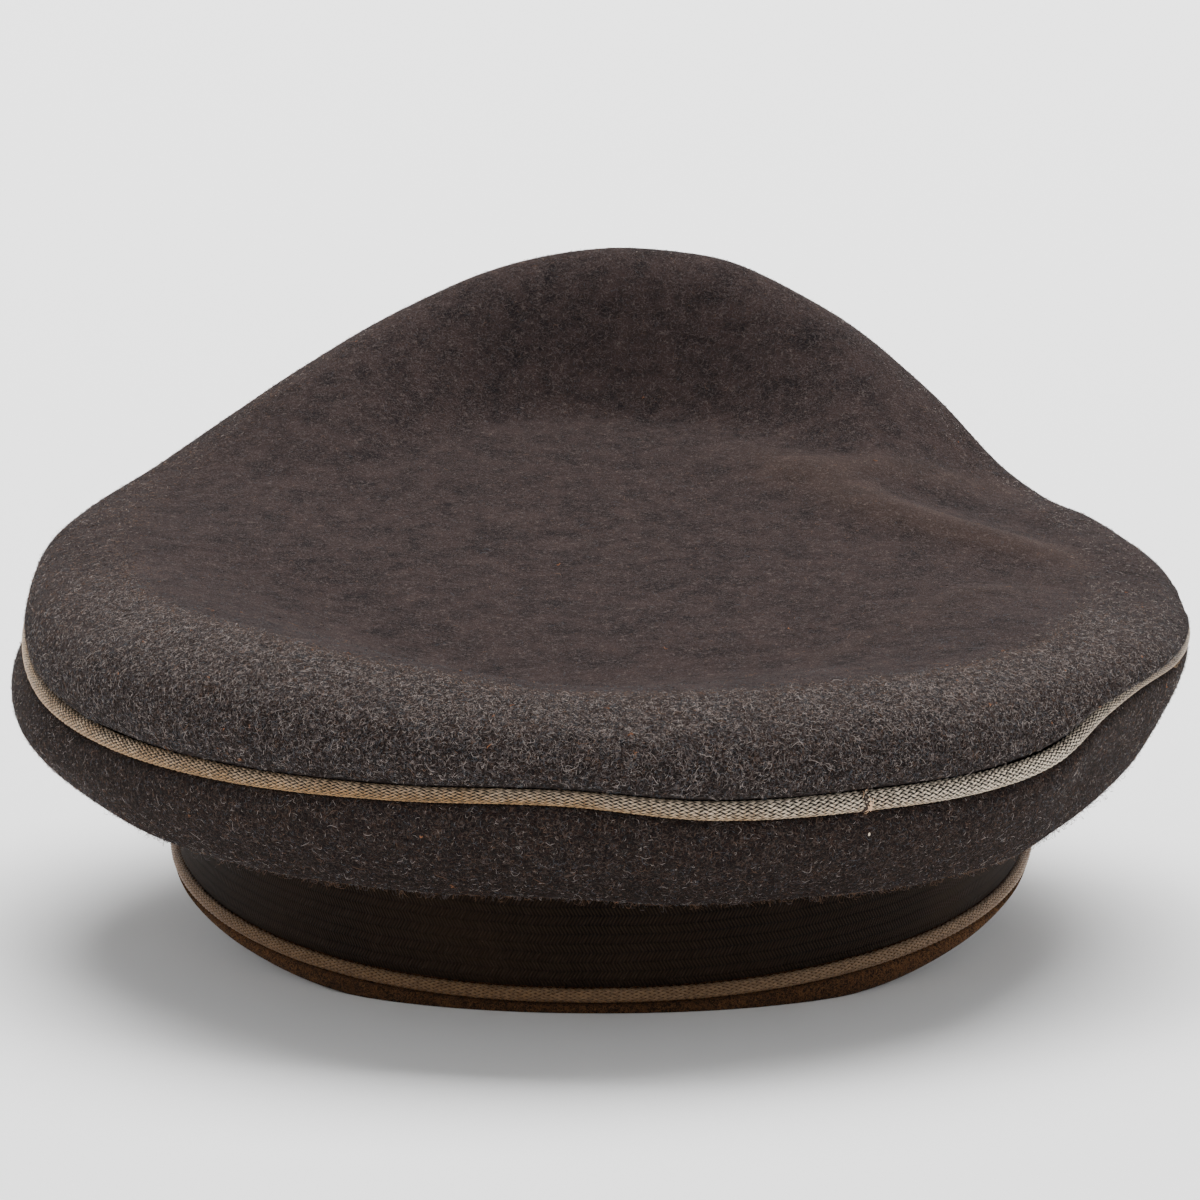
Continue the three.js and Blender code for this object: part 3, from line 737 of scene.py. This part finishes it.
def build_plait(name, line, lay, pairs, grid, material, slot, node):
    """A plaited cord: its floats as small raised cushions, with the grid's number of cells along
    and across each. Returns the mesh of the core in it."""
    at, _, run = line
    length, strips = run[-1], 4
    floats, true_lay = plait_floats(length, lay, pairs, math.radians(112))
    rng = np.random.default_rng(5)
    count = len(floats)
    distance, angle, way = floats[:, 0:1], floats[:, 1:2], floats[:, 2:3]
    swell = rng.uniform(0.84, 1.08, (count, 1))
    slip = rng.normal(0, 0.05, (count, 1))
    tone = rng.random((count, 1)) ** 2
    step_along, step_round = true_lay / (2 * pairs), np.pi / pairs
    float_length, float_width = 1.3, 0.69       # in steps of the plait
    float_foot, dome_rise, arch_rise, core_size = 0.82, 0.10, 0.13, 0.85      # in half thicknesses

    def unrolled(t, w):
        """Distance and angle of each point: t runs along a thread from where it comes up between
        its neighbours to where it goes under again, and w across it."""
        reach = (t[None] - 0.5) * float_length + slip
        width = float_width * swell * (1 - 0.35 * np.abs(2 * t[None] - 1) ** 3)
        aside = (w[None] - 0.5) * width
        return distance + step_along * (reach - aside), angle + step_round * way * (reach + aside)

    def place(t, w):
        s, a = unrolled(t, w)
        middle, out, up, size = at(s)
        dome = np.sqrt(np.clip(1 - (2 * w[None] - 1) ** 2 * 0.92, 0, 1))
        arch = 1 - np.abs(2 * t[None] - 1) ** 2.6
        height = float_foot + dome_rise * dome + arch_rise * arch * swell
        return round_core(middle, size * height, a, out, up)

    def chart(t, w):
        s, a = unrolled(t, w)
        lap = (s / length) % 1 * strips
        strip = np.floor(lap.mean(1, keepdims=True))
        v = (strip + 0.5 + a / math.radians(260)) / strips
        return np.stack([np.clip(lap - strip, 0, 1), v], -1)

    mesh = many(name, count, *grid, place, charts=(
        ("OFBake", chart), ("yarn", lambda t, w: np.stack([t, w], -1)[None]),
        ("float_tone", lambda t, w: np.stack([tone + 0 * t, 0 * tone + w], -1))))
    add_piece(name, mesh, material, slot, node)

    sections, around = 361, np.linspace(0, 2 * np.pi, 11)[None]
    middle, out, up, size = at(np.minimum(np.linspace(0, length, sections), length - 1e-6))
    core = round_core(middle[:, None], core_size * size[:, None], around, out[:, None], up[:, None])
    core[-1] = core[0]
    chart = chart_grid(np.linspace(0, 1, sections), np.linspace(0, 1, around.size))
    return body_of_patches(name + "_core", [(core, chart)])


# dark and matt, as painted shade, so that the gaps between the threads look deep
CORE_COTTON = plain_material("soiled_cotton_core", "#120c08", 0.9)
# nearly as light as the threads, so that the plait hardly shows through it
CAKED_DIRT = plain_material("dirt_caked_between_threads", "#4b3726", 0.95)
CROWN_BRAID = plaited_metal("plaited_silver_thread", "#ffeed6", "#c89e6c", "#0e0804", -30, 75, 1.1)
LOWER_BRAID = plaited_metal("plaited_thread_dirty", "#94795e", "#80603f", "#3d2a1b", -20, 90, 0.15)

crown_cord_line = cord_line(seam_radius, CROWN["seam_z"], CROWN["cord"])
lower_cord_line = cord_line(lambda deg: band_radius(deg) + LOWER_CORD["out"] - BAND_WALL,
                            lower_cord_z, lambda deg: np.full_like(deg, LOWER_CORD["up"]))
crown_core = build_plait("crown_plait", crown_cord_line, 22.4, 14, (4, 2), CROWN_BRAID,
                         "crown_braid", "crown_piping")
add_piece("crown_plait_core", crown_core, CORE_COTTON, "crown_braid")
lower_core = build_plait("lower_plait", lower_cord_line, 19.2, 12, (3, 2), LOWER_BRAID,
                         "lower_braid", "lower_piping")
add_piece("lower_plait_core", lower_core, CAKED_DIRT, "lower_braid")


# ---- the band, its ring and hem ----

def ribbed_mohair():
    """Black mohair braid, woven in rows of slanting ribs that lean to and fro like herringbone. It
    is matt, brown where it has faded, and each rib is a soft thread about 0.6 mm wide."""
    rib, row, lean = 0.62, 1.6, 0.55
    material, add = new_material("faded_mohair_braid")
    flat = add("UVMap", uv_map="flat_mm")
    split = add("SeparateXYZ", flat)
    waver = add("TexNoise", Vector=flat, Scale=0.12)
    high = add("Math", waver, 0.8, split.outputs["Y"], operation="MULTIPLY_ADD")
    zigzag = add("Math", high, row, operation="PINGPONG")
    along = add("Math", zigzag, lean, split, operation="MULTIPLY_ADD")
    wave = add("Math", add("Math", along, 2 * math.pi / rib, operation="MULTIPLY"), operation="SINE")
    turn = add("Math", add("Math", zigzag, row / 2, operation="SUBTRACT"), operation="ABSOLUTE")
    turn = add("Math", turn, row / 2, operation="DIVIDE")
    valley = add("Math", turn, 4.0, operation="POWER")
    height = add("Math", valley, -1.0, wave, operation="MULTIPLY_ADD")
    # the colour follows the ribs' height: painted shade in the grooves between the ribs and at the
    # rows' turns
    level = add("MapRange", height, From_Min=-1.2, From_Max=1.0)
    colour = add("Mix", level, linear("#0a0705"), linear("#2a1f17"), data_type="RGBA")
    faded = add("TexNoise", Vector=flat, Scale=0.03, Detail=3.0)
    faded = add("MapRange", faded, From_Min=0.4, From_Max=0.7, To_Max=0.5)
    colour = add("Mix", faded, colour, linear("#2c2016"), data_type="RGBA", blend_type="LIGHTEN")
    bump = add("Bump", Strength=0.8, Distance=0.00012, Height=height)
    add("OutputMaterial", add("BsdfPrincipled", Base_Color=colour, Normal=bump, Roughness=0.8,
                              Specular_IOR_Level=0.08))
    return material


def flat_chart(mesh, around_mm, up_mm, strips):
    """A second chart in millimetres, worked out from the unrolled strips of the first."""
    end, side = STRIP_MARGIN["end"], STRIP_MARGIN["side"]
    uv = np.empty(len(mesh.loops) * 2, np.float32)
    mesh.uv_layers["OFBake"].data.foreach_get("uv", uv)
    u, v = uv[0::2], uv[1::2] * strips
    lap = np.floor(np.minimum(v, 0.99999 * strips))
    across = (lap + (u - end) / (1 - 2 * end)) / strips * around_mm
    up = (v - lap - side) / (1 - 2 * side) * up_mm
    layer = mesh.uv_layers.new(name="flat_mm")
    layer.data.foreach_set("uv", np.stack([across, up], 1).astype(np.float32).ravel())


def build_band():
    """The mohair band, whose face waves in and out a little. Its chart counts one whole section,
    front and back, as 40 mm."""
    r = band_radius(ROUND)
    foot = lower_cord_z(ROUND) + LOWER_CORD["up"] + CLEAR
    rows = np.linspace(0, 1, 27)[None, :]
    height = foot[:, None] + (BAND_TOP - foot[:, None]) * rows
    bow = 0.12 * np.sin(rows * 3 * np.pi + 0.4 * np.sin(np.radians(ROUND * 3))[:, None])
    outside = np.stack([r[:, None] + bow, height], -1)
    back = np.stack(np.broadcast_arrays((r - BAND_WALL)[:, None], height[:, ::-1][:, ::13]), -1)
    ring = round_cap(ROUND, closed(outside, back))
    mesh = body_of_patches("band_cloth", ring_patches(ring, 4))
    around = float(np.hypot(*np.diff(np.stack(plan(r, ROUND)), axis=1)).sum())
    flat_chart(mesh, around, 40.0, 4)
    add_piece("band_cloth", mesh, ribbed_mohair(), "mohair", "band")


def build_ring():
    """The stiff ring and its wool hem. Where the hem would reach below the table it is pressed flat."""
    r = band_radius(ROUND)
    cord_foot = lower_cord_z(ROUND) - LOWER_CORD["up"]
    face = r - BAND_WALL - CLEAR
    bore = face - BASE_WALL
    foot = hem_z(ROUND)
    hem = smooth_path([
        (bore, foot + 3), (bore + 0.1, foot + 1.2), (bore + 1.2, foot), (r + HEM_OUT - 1, foot),
        (r + HEM_OUT, foot + 0.9), (r + HEM_OUT - 0.4, cord_foot - 0.9), (face, cord_foot - 0.1),
        (face, cord_foot + 3),
    ], [2, 2, 3, 4, 4, 4, 2])
    top = np.stack([np.stack([edge, np.full_like(r, BASE_TOP)], -1) for edge in (face, bore)], 1)
    points = round_cap(ROUND, closed(hem, top))
    table = (-SHIFT[2] - points[..., 1] * math.sin(TILT)) / math.cos(TILT) + 0.02
    points[..., 2] = np.maximum(points[..., 2], table)
    mesh = body_of_patches("ring_and_hem", ring_patches(points, 4))
    add_piece("ring_and_hem", mesh, HEM_WOOL, "hem_wool", "band_base")


HEM_WOOL = wool_felt(
    "worn_brown_wool_hem", "#2d2119", "#251c16",
    (("#7a5534", 0.6, 0.09, 0.8), ("#5e3f28", 0.9, 0.08, 0.8)), fine_bump=0.6, foot_height=0.006)
build_band()
build_ring()


# ---- the peak ----

def black_lacquer():
    """Vulcanised fibre under old black lacquer: a soft gloss with faint ripples and dulled patches."""
    material, add = new_material("black_lacquered_fibre")
    place = add("TexCoord").outputs["Object"]
    wear = add("TexNoise", Vector=place, Scale=per_metre(14), Detail=5.0, Roughness=0.65)
    dulled = add("MapRange", wear, From_Min=0.35, From_Max=0.7, To_Min=0.22, To_Max=0.45)
    ripple = add("TexNoise", Vector=place, Scale=per_metre(5))
    bump = add("Bump", Strength=0.12, Distance=0.0002, Height=ripple)
    add("OutputMaterial", add("BsdfPrincipled", Base_Color=linear("#0b0a0a"), Roughness=dulled,
                              Normal=bump, Specular_IOR_Level=0.25))
    return material


def build_peak():
    """The peak with its raised rim, and a patch over each of its two ends."""
    deg = 180 + PEAK["half_angle"] * np.linspace(-1, 1, 121)
    aside = np.abs(deg - 180) / PEAK["half_angle"]
    fullness = np.clip(np.cos(np.pi / 2 * aside), 0, 1) ** 0.7
    inner = band_radius(deg) - PEAK["tuck"]
    reach = PEAK["tuck"] + PEAK["corner"] + (PEAK["reach"] - PEAK["corner"]) * fullness
    drop = PEAK["corner"] + (PEAK["drop"] - PEAK["corner"]) * fullness
    top = hem_z(180) - CLEAR - PEAK["wall"] / 2
    share = np.linspace(0, 0.96, 25)[None, :]
    middle = np.stack([inner[:, None] + reach[:, None] * share,
                       top - drop[:, None] * share ** 1.15], -1)
    lower = middle - normals_of(middle) * PEAK["wall"] / 2
    upper = (middle + normals_of(middle) * PEAK["wall"] / 2)[:, ::-1]
    turn = np.radians(np.linspace(-140, 140, 15))[None, :] - np.arctan2(drop, reach)[:, None]
    bead = np.stack([(inner + reach)[:, None] + PEAK["bead"] * np.cos(turn),
                     (top - drop)[:, None] + PEAK["bead"] * np.sin(turn)], -1)
    points = round_cap(deg, closed(lower, bead, upper))
    chart = chart_grid(np.linspace(0.01, 0.99, len(deg)), np.linspace(0.01, 0.9, points.shape[1]))
    patches = [(points, chart)]
    rows = lower.shape[1]
    for row, end in ((0.92, points[0, :-1]), (0.95, points[-1, :-1])):
        patches.append((np.stack([end[:rows], end[::-1][:rows]], 1),
                        chart_grid(np.linspace(0.01, 0.4, rows), np.array([row, row + 0.02]))))
    add_piece("peak_shell", body_of_patches("peak_shell", patches), black_lacquer(), "lacquer", "peak")


build_peak()


# ---- the nap: loose wool fibres ----

def roots_on(surface, count, weight, rng):
    """Random places on a surface grid, [across, up, 3], whose cells are wound so that they face
    out of the cloth: their points, normals and two tangents. weight(points) says how thickly the
    fibres stand there."""
    a, b = surface[:-1, :-1], surface[1:, :-1]
    c, d = surface[1:, 1:], surface[:-1, 1:]
    middle = (a + b + c + d) / 4
    area = np.linalg.norm(np.cross(c - a, d - b), axis=-1) / 2
    chance = (area * weight(middle)).ravel()
    cell = rng.choice(len(chance), count, p=chance / chance.sum())
    i, j = np.unravel_index(cell, area.shape)
    u, v = rng.random((2, count, 1))
    point = ((a[i, j] * (1 - u) + b[i, j] * u) * (1 - v) + (d[i, j] * (1 - u) + c[i, j] * u) * v)
    first = unit(b[i, j] - a[i, j] + c[i, j] - d[i, j])
    normal = unit(np.cross(c[i, j] - a[i, j], d[i, j] - b[i, j]))
    return point, normal, first, np.cross(normal, first)


def nap(name, roots, material, seed, length, width, lift, curl, along=3):
    """Loose fibres as thin curled ribbons that lie on the cloth and stand up from it a little. They
    are drawn about twice as wide as real wool fibres, so that they show."""
    rng = np.random.default_rng(seed)
    point, normal, first, second = (part[:, None] for part in roots)
    count, bends = len(point), 40
    long = rng.uniform(*length, (count, 1))
    wide = rng.uniform(*width, (count, 1))
    high = rng.uniform(*lift, (count, 1)) * rng.random((count, 1))
    loose = rng.random((count, 1)) < 0.35
    heading = rng.uniform(0, 2 * np.pi, (count, 1))
    bend = rng.normal(0, curl, (count, 1))
    wiggle = rng.normal(0, 0.4 * curl, (count, 1))
    roll = rng.uniform(-1.1, 1.1, (count, 1))

    def place(t, w):
        steps = np.linspace(0, 1, bends + 1)[None, :]
        direction = heading + bend * steps + wiggle * np.sin(2.2 * np.pi * steps)
        gone, side = [np.cumsum(step, 1) / bends - step / bends
                      for step in (np.cos(direction), np.sin(direction))]
        pick = np.round(t * bends).astype(int)
        x, y, turn = gone[:, pick] * long, side[:, pick] * long, direction[:, pick]
        t = t[None]
        rise = np.where(loose, high * t ** 1.5, high * np.sin(np.pi * t)) + 0.04
        taper = wide * (1 - 0.6 * np.abs(2 * t - 1) ** 3) * (w[None] - 0.5)
        line = point + x[..., None] * first + y[..., None] * second + rise[..., None] * normal
        flat = -np.sin(turn)[..., None] * first + np.cos(turn)[..., None] * second
        across = np.cos(roll)[..., None] * flat + np.sin(roll)[..., None] * normal
        return line + taper[..., None] * across

    add_piece(name, many(name, count, along, 1, place), material, "crown_wool")


def thicker_on_the_roll(points):
    """Thinning out inwards over 40 mm of the flat."""
    past, deg = past_the_crest(points)
    return 0.05 + (0.2 * smoothstep(past, -40, -6) + 1.2 * smoothstep(past, -9, 3)) * kept_nap(deg)


def up_on_the_roll(points):
    """Thicker at the crest than at the cord: the light fibres thin out towards the cord as painted
    shade under the roll.
    """
    past, deg = past_the_crest(points)
    return 1.4 * smoothstep(past, -5, 4) * kept_nap(deg) * (0.45 + 0.55 * climb_to_crest(points))


def along_the_crest(points):
    """Densest in a line along the crest, where the nap is worn and has browned; the line is also a
    painted highlight.
    """
    past, deg = past_the_crest(points)
    line = np.exp(-((past + 1.5) / 2.0) ** 2)
    browned_left = 1.2 * smoothstep(-deg, 35, 70) * smoothstep(past, -9, 3)
    return 0.1 + (0.8 * smoothstep(past, -9, 3) + 1.6 * line) * kept_nap(deg) + browned_left


def low_on_the_roll(points):
    """Densest near the cord, as painted shade under the roll."""
    past, _ = past_the_crest(points)
    return 0.05 + 1.4 * smoothstep(past, -6, 1) * (1.2 - climb_to_crest(points))


def visible_side(points):
    """Hardly any where the side lies hidden close to the band."""
    shown = np.hypot(points[..., 0] / HEAD["half_width"], points[..., 1] / HEAD["half_length"]) > 1.12
    return np.where(shown, 1.0, 0.02)


def everywhere(points):
    return np.ones(points.shape[:-1])


NAP_TONES = {"pale": "#998e88", "grey": "#554c4b", "slate": "#484d53", "tan": "#6b503d",
             "dark": "#0d0a0a", "rust": "#8a5a3a"}
NAP_WEIGHTS = {"pale": up_on_the_roll, "grey": up_on_the_roll, "tan": along_the_crest,
               "dark": low_on_the_roll}
# tone, count on the top, count on the side, length and width in millimetres
FINE_NAP = (
    ("pale", 16500, 8000, (0.35, 1.0), (0.05, 0.08)),
    ("grey", 19000, 11500, (0.35, 1.0), (0.06, 0.09)),
    ("slate", 15500, 9500, (0.35, 1.0), (0.06, 0.09)),
    ("tan", 8000, 6500, (0.35, 1.0), (0.05, 0.085)),
    ("dark", 11000, 6000, (0.35, 1.0), (0.07, 0.12)),
)
# tone, count on the top, count on the side
CURLS = (("pale", 1500, 700), ("slate", 1100, 900), ("tan", 1000, 1100))


def build_nap():
    """A close cover of short fibres, longer curls over it, a fringe where the side folds under,
    and specks of rust-coloured lint. Each fibre is matt and soft, and of one colour."""
    rng = np.random.default_rng(21)
    wools = {tone: plain_material("loose_wool_" + tone, colour, 0.85, Specular_IOR_Level=0.25)
             for tone, colour in NAP_TONES.items()}
    # The rows that are tucked in at the seam or over the band have none. The top is turned round
    # so that its cells face out, and the fold is the lowest part of the side.
    top, side = crown_surface[::-1, :-10], panel_surface[:, 2:-8]
    fold = panel_surface[:, 9:15]

    def scattered(tone, on_top, on_side):
        weight = NAP_WEIGHTS.get(tone, thicker_on_the_roll)
        places = roots_on(top, on_top, weight, rng), roots_on(side, on_side, visible_side, rng)
        return [np.concatenate(pair) for pair in zip(*places)]

    for seed, (tone, on_top, on_side, length, width) in enumerate(FINE_NAP, 40):
        nap("nap_" + tone, scattered(tone, on_top, on_side), wools[tone], seed, length, width,
            lift=(0.05, 0.45), curl=1.6, along=2)
    for seed, (tone, on_top, on_side) in enumerate(CURLS, 60):
        nap("curls_" + tone, scattered(tone, on_top, on_side), wools[tone], seed, (1.2, 2.8),
            (0.045, 0.075), lift=(0.15, 0.8), curl=3.0, along=6)
    for seed, tone in enumerate(("tan", "grey"), 70):
        nap("fringe_" + tone, roots_on(fold, 3000, everywhere, rng), wools[tone], seed, (0.8, 2.6),
            (0.06, 0.10), lift=(0.4, 1.9), curl=2.0)
    spots = [np.repeat(part, 4, axis=0) for part in scattered("rust", 45, 30)]
    nap("lint", spots, wools["rust"], 80, (0.3, 0.8), (0.10, 0.18), lift=(0.1, 0.4), curl=2.0)


build_nap()


# ---- the mend in the crown's cord, and what has frayed and caught on it ----

def threads(name, lines, radius, material):
    """Loose threads as fine round strands that taper to a point at both ends. lines holds the
    points of each, [thread, point, 3]."""
    lines = np.asarray(lines, float)
    no_thread_runs = np.array([0.31, 0.17, 0.93])
    run = unit(np.gradient(lines, axis=1))
    first = unit(np.cross(run, no_thread_runs))
    second = np.cross(run, first)
    last = lines.shape[1] - 1

    def place(t, w):
        pick = np.round(t * last).astype(int)
        turn = 2 * np.pi * w[None, :, None]
        thick = radius * np.sqrt(np.clip(1 - (2 * t - 1) ** 4, 0, 1))[None, :, None]
        return lines[:, pick] + thick * (np.cos(turn) * first[:, pick] + np.sin(turn) * second[:, pick])

    mesh = many(name, len(lines), last, 6, place)
    bm = bmesh.new()
    bm.from_mesh(mesh)
    bmesh.ops.remove_doubles(bm, verts=bm.verts, dist=2e-6)
    bmesh.ops.recalc_face_normals(bm, faces=bm.faces)
    bm.to_mesh(mesh)
    bm.free()
    add_piece(name, mesh, material, "crown_braid")


def on_the_cord(offset, angle, off):
    """A point off half thicknesses from the middle of the crown's cord, offset millimetres along it
    from the mend and at an angle in degrees from facing out, up being +90."""
    at, deg, run = crown_cord_line
    middle, out, up, size = at(np.interp(MEND_AT, deg, run) + np.asarray(offset, float))
    return round_core(middle, off * size, np.radians(np.asarray(angle, float)), out, up)


# Where the mend and the tuft are, in degrees round the cap, and the flake, in cells of the side.
MEND_AT = 19.5
TUFT_AT = 66
FLAKE_AT = (200, 33)


def build_mend():
    """The cord's two ends meet right of the middle: a dark thread is wound to and fro over the
    joint, the ends have frayed beside it, and another tuft hangs out near the right side."""
    rng = np.random.default_rng(31)
    steps = np.linspace(0, 1, 29)
    wound = [on_the_cord(0.32 * np.sin(steps * turns * np.pi + start), 100 - 200 * steps, 1.08)
             for turns, start in ((5, 0.3), (6, 2.2))]
    # the darkest line on the cord, with a dull shine
    threads("mend_thread", wound, 0.13, plain_material("waxed_brown_thread", "#2a170d", 0.6))

    def tuft(count, middle, angle, reach, size, off):
        """Fine loose ends from a place on the cord. They run up to reach millimetres along it, either
        way, and up to size half thicknesses away from it."""
        lines = []
        for _ in range(count):
            t = np.linspace(0, 1, 8)
            way, bend = rng.uniform(-1, 1), rng.normal(0, 35)
            along = middle + rng.normal(0, 0.2) + way * reach * t
            turn = angle + rng.normal(0, 9) + bend * t
            away = off + 0.03 + size * rng.random() * np.sin(np.pi * t)
            lines.append(on_the_cord(along, turn, away))
        return lines

    # bright, soft ends that catch the light beside the dark thread, and a duller tuft
    cream = plain_material("frayed_silk_cream", "#f2cba4", 0.6)
    frayed = tuft(18, 0.75, -24, 0.6, 0.2, 1.04) + tuft(3, 0.1, 62, 1.2, 0.2, 1.06)
    threads("frayed_ends", frayed, 0.045, cream)
    _, deg, run = crown_cord_line
    to_tuft = float(np.interp(TUFT_AT, deg, run) - np.interp(MEND_AT, deg, run))
    tan = plain_material("frayed_silk_tan", "#9a7f60", 0.7)
    threads("tuft", tuft(9, to_tuft, -66, 0.6, 0.6, 1.0), 0.05, tan)


def build_flake():
    """One pale flake on the side, under the mend: the lightest speck on the wool."""
    half_sizes = (0.00022, 0.00012, 0.00034)      # in metres
    bm = bmesh.new()
    bmesh.ops.create_icosphere(bm, subdivisions=2, radius=1.0)
    bmesh.ops.scale(bm, verts=bm.verts, vec=half_sizes)
    bmesh.ops.translate(bm, verts=bm.verts, vec=to_part(panel_surface[FLAKE_AT]))
    dust = plain_material("pale_skin_of_dust", "#e6d3b8", 0.7)
    add_piece("dust_flake", mesh_from(bm, "dust_flake"), dust, "side_wool")


build_mend()
build_flake()


# ---- floor, light and camera ----

def build_cove():
    """A pale studio floor that curves up all round, so that every view has the same ground."""
    flat, curve = 0.5, 6.0        # radius of the flat part and of the curve, in metres
    bm = bmesh.new()
    profile = [(0.02, 0.0), (flat, 0.0)]
    for degrees in range(2, 74, 3):
        turn = math.radians(degrees)
        profile.append((flat + curve * math.sin(turn), curve - curve * math.cos(turn)))
    verts = [bm.verts.new((r, 0, z)) for r, z in profile]
    edges = [bm.edges.new(pair) for pair in zip(verts, verts[1:])]
    bmesh.ops.spin(bm, geom=verts + edges, cent=(0, 0, 0), axis=(0, 0, 1), angle=2 * math.pi,
                   steps=96, use_merge=True)
    hole = [edge for edge in bm.edges if edge.is_boundary and edge.verts[0].co.length < 0.1]
    bmesh.ops.contextual_create(bm, geom=hole)
    for face in bm.faces:
        face.smooth = True
    bmesh.ops.recalc_face_normals(bm, faces=bm.faces)
    bmesh.ops.reverse_faces(bm, faces=bm.faces)
    mesh = mesh_from(bm, "studio_floor")
    # matt, so that only the soft shadow shows on it
    mesh.materials.append(plain_material("white_backdrop_paper", "#fbfbfb", 0.9))
    floor = bpy.data.objects.new("studio_floor", mesh)
    bpy.context.scene.collection.objects.link(floor)


def soft_box(name, place, aim, size, watts):
    """A large rectangular lamp at a place, aimed at a point, both in metres."""
    lamp = bpy.data.lights.new(name, "AREA")
    lamp.shape = "RECTANGLE"
    lamp.size, lamp.size_y = size
    lamp.energy = watts
    box = bpy.data.objects.new(name, lamp)
    box.location = place
    box.rotation_euler = (Vector(aim) - Vector(place)).to_track_quat("-Z", "Y").to_euler()
    bpy.context.scene.collection.objects.link(box)


def build_camera():
    """Behind the cap and a little above it, level with the horizon."""
    camera = bpy.data.objects.new("camera", bpy.data.cameras.new("camera"))
    camera.location = (-0.0003, -0.7834, 0.1675)
    camera.rotation_euler = (math.radians(90 - 7.645), 0, 0)
    camera.data.sensor_width = 36
    camera.data.lens = 114.45
    camera.data.clip_start = 0.01
    bpy.context.scene.collection.objects.link(camera)
    bpy.context.scene.camera = camera


def build_world():
    """Weak, even light that fills the shadows."""
    world = bpy.data.worlds.new("studio")
    world.use_nodes = True
    light = world.node_tree.nodes["Background"].inputs
    light["Color"].default_value = linear("#f2f2f2")
    light["Strength"].default_value = 0.25
    bpy.context.scene.world = world


build_cove()
soft_box("overhead_box", (0.3, 1.8, 4.2), (0, 0.4, 0), (4.5, 3.5), 565)
build_camera()
build_world()
